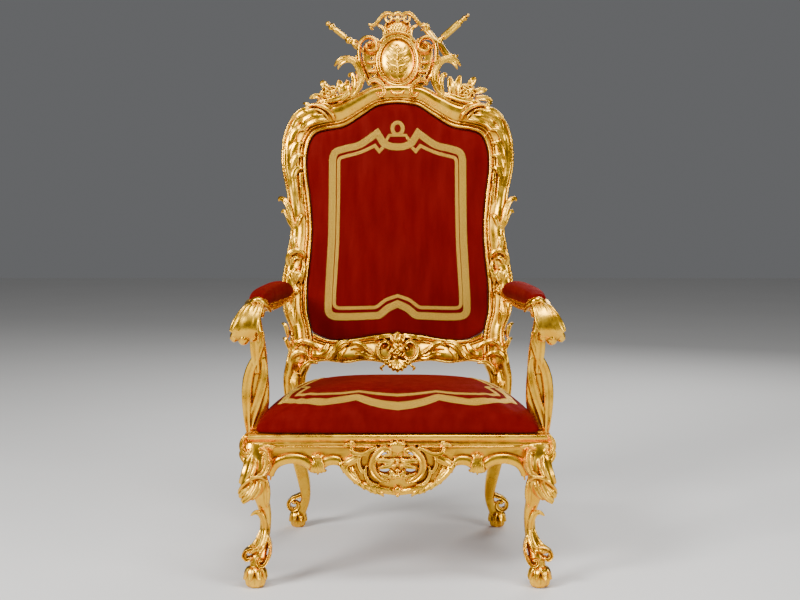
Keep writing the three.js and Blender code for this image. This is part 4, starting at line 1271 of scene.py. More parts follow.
@dataclass
class Crest:
    """The cartouche on the crest, with a rod and a cross-guarded grip crossed behind it."""

    shield_v: float = 1077.0
    shield: tuple[float, float] = (54.0, 70.0)
    shield_rise: float = 19.0
    rods_depth: float = 29.5

    def dome(self, u: float, v: float) -> float:
        """Height of the shield's domed field at a place across and up.

        Args:
            u: Place across.
            v: Place up.

        Returns:
            Height above the plane.
        """
        half_u, half_v = self.shield
        inside = 1 - (u / half_u) ** 2 - ((v - self.shield_v) / half_v) ** 2
        return self.shield_rise * math.sqrt(max(0.0, inside))

    def on_dome(self, places: Line) -> list[Point]:
        """Places across and up, with the rise that just sinks them into the shield's field."""
        return [(u, v, self.dome(u, v) - 0.5) for u, v in places]

    def shield_shells(self) -> list[Shell]:
        """The domed oval field with a low generic relief of sprays and lozenges, inside its moulded ring.

        Returns:
            The skins.
        """
        half_u, half_v = self.shield
        made = [ball((0, 0, self.shield_v), (half_u + 3, self.shield_rise, half_v + 3), 48)]
        for side in (-1, 1):
            for v, length, lift in ((1020, 24, 20), (1036, 34, 22), (1054, 38, 20), (1074, 38, 16),
                                    (1094, 32, 16), (1110, 24, 14)):
                path = [(side * 4, v), (side * length * 0.55, v + lift * 0.2), (side * length, v + lift)]
                made.append(plume(flat(self.on_dome(path)), 5, 3.4, bed=3))
        made += rope(self.on_dome([(0, 1014), (0, 1050), (0, 1090), (0, 1128)]), 2.6, 3.4)
        for u, v in ((0, 1066), (-16, 1080), (16, 1080), (0, 1096), (-10, 1050), (10, 1050), (0, 1122)):
            made.append(ball((u, -self.dome(u, v), v), (4.2, 3, 4.6), 10))
        for grow, rise, width, depth in ((2.6, 10, 2.6, 7), (10.5, 4, 6.6, 11)):
            ring = [(u, v, rise) for u, v in oval(0, self.shield_v, half_u + grow, half_v + grow)]
            made.append(sweep(flat(ring), [(width, depth)], loop_section(12), count=110, closed=True))
        return made

    def scroll_border(self) -> list[Shell]:
        """Left half of the scrolls and leaves that frame the shield.

        Returns:
            The skins.
        """
        made = scroll([(-90, 1004, 6), (-104, 1030, 9), (-116, 1062, 10), (-122, 1096, 10), (-120, 1128, 10),
                       (-108, 1147, 10), (-91, 1152, 10), (-74, 1145, 11), (-66, 1130, 12), (-70, 1112, 13),
                       (-84, 1105, 14), (-96, 1112, 15), (-97, 1127, 16), (-87, 1131, 18)], 6.8, 13,
                      (0.8, 0.75), (0, 7.5), loop_section(14))
        made += rope([(-80, 1008, 6), (-92, 1034, 9), (-103, 1064, 10), (-109, 1094, 10), (-106, 1120, 10),
                      (-99, 1134, 10)],
                     2.2, 5, (1, 1))
        made += scroll([(-92, 1000, 6), (-80, 1010, 12), (-64, 1010, 17), (-50, 999, 19), (-42, 982, 20),
                        (-44, 966, 20), (-54, 960, 19), (-61, 967, 19)], 6, 12, (0.7, 0.6), (0, 6))
        made += fronds([
            ([(-146, 958, 2), (-126, 984, 10), (-115, 1014, 15), (-120, 1046, 18), (-136, 1072, 19),
              (-162, 1082, 18), (-185, 1076, 14), (-199, 1060, 6)], 12, 9, 2),
            ([(-126, 1058, 12), (-144, 1074, 17), (-166, 1074, 18), (-182, 1062, 12), (-188, 1050, 4)], 7, 6),
            ([(-144, 962, 4), (-139, 988, 14), (-137, 1010, 16), (-142, 1028, 16), (-151, 1032, 10),
              (-153, 1024, 6)], 8, 7),
            ([(-130, 990, 4), (-124, 1010, 12), (-126, 1030, 14), (-134, 1042, 8)], 6, 6),
            ([(-122, 1098, 4), (-130, 1088, 8), (-136, 1080, 4)], 5, 5),
        ], widest=0.4, point=0.18)
        made += fronds([([(-66, 1148, 6), (-60, 1128, 8), (-62, 1110, 4)], 6, 6),
                        ([(-70, 1100, 4), (-72, 1060, 6), (-66, 1018, 4)], 5, 4)])
        for v in (1103, 1073, 1044, 1016):
            made += rope([(-98 + (1103 - v) * 0.1, v, 4), (-82, v - 2, 8), (-64, v, 5)], 5, 6)
        return made + rope([(-24, 984, 6), (-12, 972, 12), (0, 968, 13)], 6, 8, (0.6, 1))

    def crown(self) -> list[Shell]:
        """The small canopy over the shield: flared sides, arms with volutes, a netted field and a pearl.

        Returns:
            The skins.
        """
        made = scroll([(-10, 1222, 8), (-24, 1229, 10), (-39, 1228, 11), (-53, 1215, 12), (-65, 1199, 12),
                       (-78, 1190, 10), (-91, 1194, 8)], 5.5, 10, (0.8, 0.5))
        made += scroll([(-37, 1222, 8), (-38, 1209, 10), (-29, 1201, 11), (-20, 1208, 12), (-22, 1217, 12),
                        (-30, 1215, 12)],
                       3.6, 8, (0.8, 0.8))
        made += rope([(-84, 1192, 6), (-84, 1182, 8), (-76, 1178, 8)], 4, 6)
        made += scroll([(-47, 1140, 6), (-42, 1154, 10), (-42, 1170, 11), (-50, 1184, 11), (-62, 1190, 8)],
                       5, 9, (0.7, 0.7))
        made += rope([(-36, 1150, 8), (-32, 1168, 10), (-38, 1184, 10), (-36, 1200, 8)], 3, 6)
        made += rope([(-56, 1138, 8), (-38, 1156, 12), (-18, 1164, 13), (0, 1167, 14)], 5, 9, (0.7, 1))
        lattice = [ball((0, -3, 1180), (38, 8, 24), 24)]
        for k in range(-3, 4):
            for lean in (-14, 14):
                netting = []
                for u, v in ((k * 9 - lean / 2, 1168), (k * 9, 1181), (k * 9 + lean / 2, 1194)):
                    bulge = math.sqrt(max(0.0, 1 - (u / 40) ** 2 - ((v - 1180) / 26) ** 2))
                    netting.append((u, v, 3 + 8 * bulge))
                lattice += rope(netting, 1.3, 1.6, (1, 1))
        top = [ball((0, -6, 1230), (15, 12, 8))]
        top += [ball((u, -9, 1212), (4.4, 5, 4.4), 10) for u in (-11, 0, 11)]
        top += fronds([([(0, 1200, 4), (0, 1212, 10), (0, 1224, 6)], 8, 6)])
        return both(made) + lattice + top

    def cartouche(self) -> Piece:
        """The whole cartouche as one carving.

        Returns:
            The piece.
        """
        half = [(0, 984), (-46, 986), (-84, 1002), (-104, 1040), (-112, 1090), (-102, 1132), (-80, 1140),
                (-50, 1138), (-40, 1156), (-44, 1184), (-34, 1204), (0, 1208)]
        outline = spline(half, steps(90))
        outline = np.concatenate([outline, (outline * [-1, 1])[::-1][1:-1]])
        eyes = ((-82, 1087), (-80, 1058), (-78, 1030))
        plate = board(outline, -3, 16, [oval(side * u, v, 3.2, 5, 10) for side in (-1, 1) for u, v in eyes])
        shells = [plate] + self.shield_shells() + both(self.scroll_border()) + self.crown()
        return carve("crest_cartouche_gilt", shells, "crest_cartouche", DATUM.lean_back, grain=1.3,
                     triangles=96000)

    def turned_rod(self, start: Point, end: Point, profile: Line) -> Shell:
        """A turned rod between two places on the back plane.

        Args:
            start: First end, across and up.
            end: Second end.
            profile: Radius and share of the length, from the first end on.

        Returns:
            The skin.
        """
        a, b = np.asarray(start, float), np.asarray(end, float)
        fine = spline(profile, steps(8 * len(profile)))
        fine = fine[np.concatenate([[True], np.diff(fine[:, 1]) > 1e-5])]
        along = (b - a) / np.linalg.norm(b - a)
        across = np.array([-along[1], along[0]])
        turn = np.linspace(0, 2 * np.pi, 20, endpoint=False)
        rings = []
        for radius, share in fine:
            uv = a + (b - a) * share + across * np.outer(np.cos(turn), [1, 1]) * max(radius, 0.4)
            depth = self.rods_depth + np.sin(turn) * max(radius, 0.4)
            rings.append(np.stack([uv[:, 0], depth, uv[:, 1]], axis=1))
        return skin(np.array(rings))

    def on_rods(self, rows: Line) -> Rows:
        """Points drawn as across, up and rise above the middle of the rods, in space."""
        return np.array([(u, self.rods_depth - rise, v) for u, v, rise in rows], float)

    def reeds(self, start: Point, end: Point, first: float, last: float, radius: float,
              count: int) -> list[Shell]:
        """Reeds laid round a part of a rod.

        Args:
            start: The rod's first end, across and up.
            end: Its second end.
            first: Share of the rod's length where the reeds start.
            last: Share of its length where they end.
            radius: Distance of the reeds from the rod's middle.
            count: Number of reeds.

        Returns:
            The reeds.
        """
        a, b = np.asarray(start, float), np.asarray(end, float)
        along = (b - a) / np.linalg.norm(b - a)
        made = []
        for turn in np.linspace(0, 2 * np.pi, count, endpoint=False):
            off = np.array([-along[1], along[0]]) * radius * math.cos(turn)
            path = []
            for share in (first, (first + last) / 2, last):
                u, v = a + (b - a) * share + off
                path.append((u, self.rods_depth + radius * math.sin(turn), v))
            made.append(sweep(path, [(1.6, 1.6)], loop_section(6), count=8))
        return made

    def sceptre(self) -> Piece:
        """The left rod: a bud, a reeded shaft, a knob and a leafy cup.

        Returns:
            The piece.
        """
        ends = (-228, 1212), (-84, 1096)
        rod = self.turned_rod(*ends, [(2, 0), (6, 0.015), (8, 0.04), (5, 0.065), (9, 0.09), (12, 0.125),
                                      (8, 0.165), (6.5, 0.18), (7.6, 0.2), (7.6, 0.3), (7.6, 0.42), (6, 0.44),
                                      (10, 0.47), (12, 0.51), (9, 0.55), (5.5, 0.58), (8, 0.62), (10, 0.68),
                                      (7, 0.76), (6.5, 1)])
        made = [rod] + self.reeds(*ends, first=0.2, last=0.42, radius=7.4, count=12)
        made += fronds([([(-152, 1146, -24), (-138, 1138, -17), (-122, 1130, -19), (-112, 1128, -24)], 5, 4),
                        ([(-148, 1152, -24), (-134, 1148, -18), (-118, 1144, -24)], 4, 4)], bed=3)
        return carve("crest_sceptre_gilt", made, "crest_sceptre", DATUM.lean_back, grain=1.1, triangles=14000)

    def sword(self) -> Piece:
        """The right rod: pommel, reeded grip and curled cross-guard.

        Returns:
            The piece.
        """
        ends = (228, 1238), (84, 1108)
        grip = self.turned_rod(*ends, [(1.5, 0), (5, 0.012), (6, 0.03), (3.5, 0.05), (8, 0.075), (9.5, 0.1),
                                       (7, 0.13), (5.5, 0.15), (8, 0.17), (7.5, 0.19), (8.8, 0.22),
                                       (10.5, 0.34), (10.2, 0.48), (8.5, 0.58), (7, 0.6), (9.5, 0.63),
                                       (10, 0.66), (8, 0.7), (7, 1)])
        guard = sweep(self.on_rods([(84, 1194, 0), (100, 1176, 2), (118, 1154, 4), (132, 1140, 4),
                                    (144, 1122, 4), (156, 1106, 2),
                             (172, 1096, 0)]),
                      [(7, 6), (11, 8), (10, 9), (11, 10), (11, 9), (11, 8), (7, 6)], loop_section(14),
                      count=50)
        tips = fronds([
            ([(96, 1182, 4), (88, 1196, 8), (80, 1204, 6), (74, 1198, 0)], 6, 5),
            ([(98, 1180, 4), (97, 1196, 8), (90, 1208, 2)], 5, 5),
            ([(92, 1182, 4), (82, 1186, 8), (72, 1184, 2)], 5, 5),
            ([(160, 1104, 4), (174, 1100, 8), (186, 1098, 6), (192, 1106, 0)], 6, 5),
            ([(158, 1102, 4), (168, 1092, 8), (182, 1088, 2)], 5, 5)], place=self.on_rods, bed=4)
        boss = ball((134, self.rods_depth - 3, 1140), (11, 11, 11), 14)
        reeds = self.reeds(*ends, first=0.22, last=0.58, radius=9.6, count=14)
        return carve("crest_sword_gilt", [grip, guard, boss] + tips + reeds, "crest_sword", DATUM.lean_back,
                     grain=1.1, triangles=20000)

    def build(self) -> list[Piece]:
        """All pieces of the crest ornament."""
        return [self.cartouche(), self.sceptre(), self.sword()]


# ------------------------------------------------------------------ seat frame and legs

@dataclass
class SeatFrame:
    """The carved front rail and the moulded side and rear rails."""

    half_front: float = 412.0
    half_rear: float = 346.0
    front_y: float = -300.0
    rear_y: float = 225.0
    face_y: float = -296.0
    leg_back_y: float = -262.0

    def side_x(self, y: float) -> float:
        """Half width over the side rails at a depth."""
        length = self.rear_y - self.front_y
        return self.half_front - 4 + (y - self.front_y) * (self.half_rear - self.half_front) / length

    def moulding(self) -> Rows:
        """Section of the seat moulding: distance out from the rail's inner line, and height."""
        return np.array([(0, 375), (36, 375), (38, 376), (39.5, 378.5), (38.5, 381), (36.5, 382.5), (37.5, 385),
                         (40.5, 388), (43.2, 392), (44.4, 396), (44, 400), (42, 402.8), (39, 404), (0, 404)])

    def at_rail(self, shells: Iterable[Shell]) -> list[Shell]:
        """Skins drawn on an upright plane, set on the face of the front rail."""
        return [shell.moved(lambda p: p + np.array([0.0, self.face_y, 0.0])) for shell in shells]

    def apron_edge(self) -> Rows:
        """Lower edge of the left half of the front apron.

        Returns:
            Rows of across and up, from the leg to the middle.
        """
        return spline([(-342.7, 278), (-337, 297), (-322, 315), (-290, 325), (-258, 321), (-238, 310),
                       (-226, 299), (-212, 303), (-196, 315), (-176, 321), (-156, 318), (-138, 302),
                       (-120, 281), (-96, 264), (-66, 250), (-34, 241), (0, 237)], steps(120))

    def arch(self) -> list[Shell]:
        """The round band that follows the left of the apron's edge, with a bead under it.

        Returns:
            The skins.
        """
        edge = self.apron_edge()
        band = edge[:78:5]
        spine = [(u, v + 14, 0) for u, v in band]
        bow = np.interp(steps(len(spine)), [0, 0.2, 0.8, 1], [10, 14.5, 14.5, 12])
        sizes = np.stack([bow, np.full(len(spine), 11.0)], axis=1)
        made = [sweep(flat(spine), sizes, loop_section(18), count=110)]
        made += rope([(u, v + 2.5, 3) for u, v in edge[:84:5]], 2.6, 5, (1, 1))
        return made + rope([(-342, 372, 2), (-300, 371, 3), (-240, 371, 3), (-170, 371, 3), (-60, 371, 3)],
                           3, 4, (1, 1))

    def figure(self) -> list[Shell]:
        """Left half of the pierced figure in the middle of the apron.

        Returns:
            The skins.
        """
        made = scroll([(-20, 352, 8), (-24, 364, 8), (-38, 367, 8), (-53, 355, 8), (-65, 338, 8), (-68, 318, 8),
                       (-60, 298, 8), (-43, 283, 8), (-24, 278, 7)], 10, 13, (0.45, 0.45))
        made += scroll([(-90, 352, 4), (-102, 344, 6), (-104, 324, 7), (-96, 306, 6), (-88, 300, 4)], 5, 9)
        made += scroll([(-84, 320, 4), (-87, 300, 6), (-79, 280, 7), (-64, 270, 6), (-50, 268, 4)], 4.5, 9)
        made += scroll([(-124, 368, 6), (-121, 358, 10), (-108, 353, 12), (-92, 354, 13), (-74, 362, 11),
                        (-56, 371, 7)],
                       6, 9, (0.8, 0.5), (4, 0))
        made += fronds([
            ([(-120, 372, 4), (-130, 378, 10), (-141, 375, 8), (-146, 368, 2)], 6, 6),
            ([(-116, 374, 4), (-120, 382, 8), (-128, 384, 4)], 5, 5),
            ([(-150, 318, 2), (-132, 330, 9), (-112, 340, 9), (-100, 344, 4)], 12, 7, 2),
            ([(-148, 326, 2), (-136, 306, 11), (-118, 286, 11), (-98, 268, 4)], 9, 8, 2),
            ([(-124, 318, 2), (-118, 300, 10), (-104, 284, 8)], 7, 7),
            ([(-8, 338, 6), (-24, 334, 13), (-42, 336, 15), (-54, 332, 12), (-56, 322, 4)], 7, 7),
            ([(-8, 330, 6), (-22, 322, 13), (-40, 318, 14), (-54, 314, 8)], 7, 7),
            ([(-14, 352, 6), (-28, 350, 12), (-44, 346, 10)], 4, 5),
            ([(-12, 290, 6), (-26, 292, 12), (-42, 296, 10), (-50, 304, 4)], 6, 6),
            ([(-6, 296, 6), (-16, 302, 12), (-18, 312, 6)], 6, 6),
            ([(-16, 384, 4), (-14, 372, 12), (-6, 356, 10)], 6, 6),
        ], widest=0.45)
        edge = self.apron_edge()[76::4]
        for k, (at, way) in enumerate(zip(edge[:-2], unit(edge[2:] - edge[:-2]))):
            down = np.array([way[1], -way[0]])
            reach, drop = ((15, 7), (11, 4), (13, 6))[k % 3]
            tip = [(*(at + way * along + down * out), rise) for along, out, rise in
                   ((-15, -12, 4), (-5, -5, 11), (reach * 0.55, -1, 10), (reach, drop, 3))]
            made += fronds([(tip, 5.5 + k % 2, 6)], widest=0.4)
        made += fronds([([(-12, 252, 4), (-40, 256, 9), (-70, 264, 9), (-98, 278, 4)], 7, 7, 2)])
        return made

    def front_carving(self) -> list[Shell]:
        """Left half of the carving on the front apron.

        Returns:
            The skins.
        """
        drop = [plume(flat([(-214 + a * 0.3, 348, 4), (-214 + a * 0.6, 330, 16), (-214 + a * 0.9, 311, 18),
                            (-214 + a * 1.3, 297 + abs(a) * 0.7, 6)]), 5.6, 8, widest=0.5, point=0.1)
                for a in (-17, -8.5, 0, 8.5, 17)] + [ball((-214, -14, 349), (8, 8, 6), 12)]
        cap = fronds([([(-214, 334, 8), (-218 + a * 0.4, 344, 13), (-214 + a, 353 - abs(a) * 0.2, 6)], 5, 6)
                      for a in (-16, -5, 6, 16)])
        leg_top = fronds([([(-346, 366, 6), (-346 + a, 374 - abs(a) * 0.2, 14),
                            (-346 + 1.7 * a, 376 - abs(a) * 0.7, 8)], 6, 6)
                          for a in (-9, 0.5, 9)])
        return self.arch() + self.figure() + drop + cap + leg_top

    def front(self) -> Piece:
        """The front rail: moulding, scooped and pierced apron, and carving about a rosette and a palmette.

        Returns:
            The piece.
        """
        half = self.apron_edge()
        outline = np.concatenate([[(-342.7, 376)], half, (half * [-1, 1])[::-1][1:], [(342.7, 376)]])
        pierced = ((-38, 348, 13, 6), (-35, 305, 14, 6.5))
        holes = [oval(side * u, v, a, b) for side in (-1, 1) for u, v, a, b in pierced]
        out, up = self.moulding().T
        rail = skin(np.stack([np.stack([np.full(len(out), x), self.leg_back_y - out, up], axis=1)
                              for x in np.linspace(-self.half_front, self.half_front, 60)]))
        palmette = fronds([([(0, 352, 6), (a * 0.5, 366, 13), (a, 378, 16), (a * 1.25, 389 - abs(a) * 0.5, 10)],
                            3.8, 6)
                           for a in (-16, -10.5, -5, 0, 5, 10.5, 16)], widest=0.7, point=0.5)
        middle = palmette + [ball((x, -r, z), (a, 8, b), 12) for x, r, z, a, b in (
            (0, 12, 337, 8, 6), (-9, 12, 321, 6, 4), (9, 12, 321, 6, 4), (0, 12, 328, 5, 4), (0, 11, 309, 9, 5),
            (0, 11, 292, 10, 7), (0, 9, 256, 11, 9), (0, 9, 241, 6, 6), (0, 14, 388, 4, 4))]
        middle += fronds([([(0, 300, 6), (-8, 292, 12), (-12, 282, 6)], 5, 6),
                          ([(0, 300, 6), (8, 292, 12), (12, 282, 6)], 5, 6)])
        carved = self.at_rail(both(self.front_carving()) + middle + [board(outline, 3, 26, holes)])
        return carve("front_seat_rail_gilt", [rail] + carved, "front_seat_rail", grain=1.5, triangles=96000)

    def side(self) -> Piece:
        """The left side rail: the same moulding over a plain fascia.

        Returns:
            The piece.
        """
        ys = np.linspace(self.leg_back_y + 0.3, self.rear_y - 0.3, 40)
        section = np.array([(0, 345), (28, 345), (31, 347), (32, 351), (31, 366), (33, 369)]
                           + [(d - 2, z) for d, z in self.moulding()[2:-1]] + [(0, 404)])
        ring = [np.stack([-self.side_x(y) + 40 - section[:, 0], np.full(len(section), y), section[:, 1]],
                         axis=1)
                for y in ys]
        return carve("side_seat_rail_gilt_left", [skin(np.array(ring))], "side_seat_rail_left",
                     grain=2.0, triangles=8000)

    def rear(self) -> Piece:
        """The rear rail, a plain board with softened edges, seen only from behind.

        Returns:
            The piece.
        """
        obj = primitive_block("rear_seat_rail_gilt", (-283.7, 230, 345), (283.7, 262, 404))
        apply_modifier(obj, "BEVEL", width=0.003, segments=3)
        apply_modifier(obj, "SUBSURF", levels=2, render_levels=2, subdivision_type="SIMPLE")
        mark_recesses(obj)
        return dress(obj, Finish.GILT, ["rear_seat_rail"])

    def build(self) -> list[Piece]:
        """All rails.

        Returns:
            The pieces.
        """
        side = self.side()
        other = mirrored_copy(side, "side_seat_rail_gilt_right", ["side_seat_rail_right"])
        return [self.front(), side, other, self.rear()]


def primitive_block(name: str, low: Point, high: Point) -> Piece:
    """A cube primitive added at the size and place of a piece, its place kept in its mesh.

    Args:
        name: The object's name.
        low: Lowest corner on the chair's drawing.
        high: Highest corner.

    Returns:
        The object.
    """
    corners = DATUM.world(np.array([low, high], float))
    bpy.ops.object.select_all(action="DESELECT")
    bpy.ops.mesh.primitive_cube_add(size=1, location=corners.mean(axis=0), scale=corners[1] - corners[0])
    bpy.ops.object.transform_apply(location=True, rotation=True, scale=True)
    obj = bpy.context.active_object
    obj.name = name
    return obj


@dataclass
class FrontLeg:
    """A cabriole leg with a folded leaf on the knee, a scrolled foot and a melon ball."""

    foot_x: float = 380.0
    foot_y: float = 330.0
    ball_height: float = 47.0

    def at(self, rows: Line) -> Rows:
        """Drawn rows of x, z and depth forward of the rail's face, as points in space."""
        return np.array([(x, -300.0 - forward, z) for x, z, forward in rows], float)

    def knee(self) -> list[Shell]:
        """The lobes, scrolls and folded leaf of the knee.

        Returns:
            The skins.
        """
        free = {"place": self.at}
        corner = (-0.55, -0.83, 0.0)
        made = scroll([(-404, 402, 4), (-414, 388, 6), (-416, 372, 8), (-409, 358, 12), (-399, 354, 12),
                       (-395, 363, 10)],
                      6, 10, (0.8, 0.7), (0, 6), face=corner, **free)
        made += fronds([
            ([(-392, 346, 12), (-397, 326, 28), (-405, 302, 38), (-416, 276, 36)], 15, 11),
            ([(-378, 346, 12), (-383, 324, 30), (-392, 302, 38), (-404, 284, 38)], 10, 8),
            ([(-414, 366, 4), (-420, 352, 4), (-414, 338, 10), (-406, 330, 16)], 6, 6),
        ], corner, root=0.8, point=0.6, **free)
        made += scroll([(-366, 364, 8), (-352, 360, 16), (-347, 342, 22), (-348, 322, 26), (-358, 306, 30),
                        (-374, 300, 36)],
                       9, 13, (0.7, 0.6), face=(-0.2, -0.95, 0), **free)
        made += fronds([([(-364, 352, 12), (-362, 334, 22), (-362, 318, 26), (-368, 306, 28)], 8, 7)],
                       (-0.2, -0.95, 0), **free)
        fold = [(-352, 282, 18), (-361, 293, 31), (-376, 297, 40), (-394, 290, 45), (-411, 276, 42),
                (-424, 258, 30)]
        made += [sweep(self.at(fold), [(3, 4), (4, 6), (5, 7), (5, 7), (4.5, 6), (3, 4)], loop_section(14),
                       (-0.4, -0.9, 0.2), 50)]
        made += fronds([
            ([(-374, 286, 30), (-384, 264, 38), (-398, 244, 42), (-415, 229, 38)], 11, 9),
            ([(-390, 286, 32), (-402, 268, 36), (-414, 252, 36), (-422, 240, 30)], 8, 6),
            ([(-366, 280, 26), (-373, 260, 32), (-382, 245, 34), (-391, 235, 30)], 8, 7),
            ([(-406, 276, 30), (-416, 262, 32), (-425, 248, 26)], 6, 6),
        ], corner, bed=12, point=0.55, **free)
        made += fronds([
            ([(-355, 290, 16), (-350, 262, 20), (-349, 232, 16), (-352, 206, 8)], 9, 6),
            ([(-356, 146, 12), (-358, 172, 17), (-366, 192, 19), (-380, 198, 20), (-394, 187, 14)], 9, 7),
        ], (-0.3, -0.95, 0), **free)
        return made

    def foot(self) -> list[Shell]:
        """The ankle's leaf, the volutes over the ball, the ball and its collar.

        Returns:
            The skins.
        """
        free = {"place": self.at}
        made = fronds([
            ([(-357, 160, 8), (-360, 136, 18), (-368, 114, 32), (-384, 100, 42), (-398, 94, 44)], 10, 8, 2),
            ([(-352, 152, 8), (-354, 128, 18), (-360, 106, 34), (-368, 90, 46)], 8, 8),
            ([(-364, 150, 4), (-374, 124, 14), (-386, 112, 26), (-400, 108, 30)], 7, 7),
        ], (-0.4, -0.9, 0.1), **free)
        made += scroll([(-372, 104, 30), (-388, 104, 34), (-404, 98, 36), (-410, 86, 36), (-402, 76, 36),
                        (-392, 80, 36)],
                       6, 17, (1, 0.8), (0, 7), **free)
        made += scroll([(-347, 132, 10), (-341, 110, 18), (-342, 88, 28), (-351, 68, 38), (-362, 60, 42),
                        (-372, 66, 42), (-370, 76, 42), (-362, 75, 42)], 5, 15, (0.6, 0.7), (0, 4), **free)
        return made + [melon((-self.foot_x, -self.foot_y, 0), 29, self.ball_height)] \
            + collar((-self.foot_x, -self.foot_y, self.ball_height + 1), 26)

    def build(self) -> list[Piece]:
        """Both front legs.

        Returns:
            The pieces.
        """
        path = [(-379, -284, 374), (-381, -298, 330), (-380, -304, 285), (-366, -298, 235), (-357, -292, 190),
                (-357, -296, 148), (-362, -306, 112), (-374, -322, 74), (-380, -330, 44)]
        sizes = [(35, 26), (35, 30), (31, 29), (20, 21), (16, 17), (15, 16), (16, 17), (20, 21), (17, 17)]
        shells = [sweep(path, sizes, loop_section(32, 2.6), count=80),
                  block((-412, -304, 330), (-343, -262, 374.7))]
        leg = carve("front_leg_gilt_left", shells + self.knee() + self.foot(), "front_leg_left",
                    grain=1.4, triangles=45000)
        return [leg, mirrored_copy(leg, "front_leg_gilt_right", ["front_leg_right"])]


# ------------------------------------------------------------------ arms

@dataclass
class Arm:
    """A gilt arm that ends in a fluted scroll of three lobes, its twisted support and its velvet pad."""

    left: Point = (-1.0, 0.0, 0.0)
    pad_fill: float = 0.8

    def section(self, t: float) -> Rows:
        """Unit section of the arm: rimmed on top along the pad, ribbed in three lobes on the scroll.

        Args:
            t: Share of the arm's length.

        Returns:
            Rows of up and out.
        """
        half = np.array([(-0.86, 0.0), (-0.86, 0.5), (-0.95, 0.56), (-1.02, 0.7), (-1.02, 0.86), (-0.9, 0.98),
                         (-0.7, 1.0), (-0.55, 0.9), (-0.45, 0.78), (-0.2, 0.84), (0.1, 0.86), (0.4, 0.78),
                         (0.62, 0.6), (0.72, 0.66), (0.86, 0.62), (0.98, 0.46), (1.0, 0.2), (1.0, 0.0)])
        plain = np.concatenate([half, (half * [1, -1])[::-1][1:-1]])
        across = plain[:, 1]
        lobed = plain.copy()
        ribs = np.abs(np.cos(1.5 * np.pi * across)) ** 0.6
        top = plain[:, 0] < -0.3
        lobed[top, 0] = -0.72 - 0.34 * ribs[top] * np.sqrt(np.clip(1.05 - across[top] ** 2, 0, 1))
        share = np.clip((t - 0.5) / 0.12, 0, 1)
        return plain * (1 - share) + lobed * share

    def resampled_section(self, t: float) -> Rows:
        """The arm's section with evenly many more points, so that the lobes come out round."""
        coarse = self.section(t)
        return spline(coarse, np.linspace(0, 1, 72, endpoint=False), closed=True)

    def arm(self) -> Piece:
        """The left arm.

        Returns:
            The piece.
        """
        path = [(-334, 262, 738), (-346, 190, 730), (-366, 60, 724), (-384, -60, 728), (-388, -150, 736),
                (-386, -205, 744), (-391, -246, 738), (-402, -274, 714), (-412, -282, 684), (-415, -266, 664),
                (-414, -248, 674)]
        sizes = [(17, 21), (14, 20), (14, 22), (14, 24), (15, 27), (17, 27), (17, 27), (16, 31), (14, 37),
                 (12, 38), (8, 35)]
        shells = [sweep(path, sizes, self.resampled_section, self.left, count=170)]
        for x, z, reach in ((-441, 665, 12), (-416, 657, 15), (-390, 666, 13)):
            shells += [ball((x, -268, z), (reach, 19, 16), 24), ball((x, -286, z + 5), (reach * 0.5, 6, 5), 12)]
        lip = [(-404, -232, 742), (-397, -244, 755), (-384, -250, 763), (-368, -248, 759), (-356, -236, 746),
               (-348, -216, 728)]
        shells.append(sweep(lip, [(4, 4), (7, 6), (9, 7), (9, 7), (7, 6), (4, 4)], loop_section(14),
                            (0, -0.7, 0.7), 50))
        for first, last in ((-402, -447), (-394, -430), (-385, -412), (-374, -394), (-366, -382)):
            near, far = (first + (last - first) * share for share in (0.3, 0.7))
            shells.append(plume([(first, -250, 750), (near, -270, 738), (far, -288, 710), (last, -294, 680)],
                                8.5, 6, (0, -0.95, 0.3), root=0.6, widest=0.7, point=0.6))
        shells += [
            plume([(-404, -214, 738), (-420, -236, 730), (-438, -256, 708), (-447, -268, 682)], 12, 6,
                  (-0.9, -0.4, 0.3)),
            plume([(-372, -210, 716), (-366, -232, 726), (-364, -246, 738)], 10, 6, (1, -0.3, 0)),
            plume([(-330, 236, 752), (-338, 200, 752), (-346, 160, 748)], 14, 6, (0, 0, 1)),
        ]
        return carve("arm_gilt_left", shells, "arm_left", grain=1.5, triangles=40000)

    def support(self) -> Piece:
        """The left arm support: two smooth blades that twist up in an S out of the side rail.

        Returns:
            The piece.
        """
        path = [(-392, -222, 744), (-384, -226, 690), (-378, -224, 640), (-378, -214, 600), (-383, -206, 560),
                (-385, -202, 520), (-385, -200, 470), (-390, -198, 430), (-404, -196, 404), (-410, -196, 392)]
        sizes = [(13, 14), (14, 15), (17, 16), (21, 16), (28, 15), (32, 15), (31, 15), (25, 15), (16, 14),
                 (10, 12)]
        shells = [sweep(path, sizes, loop_section(28, 2.4), count=90)]
        shells += [
            plume([(-410, -208, 396), (-412, -214, 430), (-414, -218, 476), (-413, -218, 520),
                   (-404, -222, 566), (-386, -230, 604), (-372, -236, 640), (-368, -236, 676)],
                  14, 10, root=0.5, widest=0.45, bed=12, point=0.3),
            plume([(-408, -206, 400), (-396, -214, 440), (-382, -220, 486), (-370, -222, 532),
                   (-364, -222, 570), (-366, -228, 604)], 13, 9, root=0.6, widest=0.5, bed=12, point=0.25),
            plume([(-384, -218, 560), (-388, -230, 600), (-390, -236, 640), (-392, -236, 680),
                   (-394, -232, 716)],
                  13, 9, root=0.5, widest=0.5, bed=10, point=0.5),
            plume([(-398, -204, 460), (-418, -204, 500), (-420, -204, 540), (-408, -208, 580)], 9, 7,
                  (-0.9, -0.4, 0)),
        ]
        return carve("arm_support_gilt_left", shells, "arm_support_left", grain=1.4, triangles=22000)

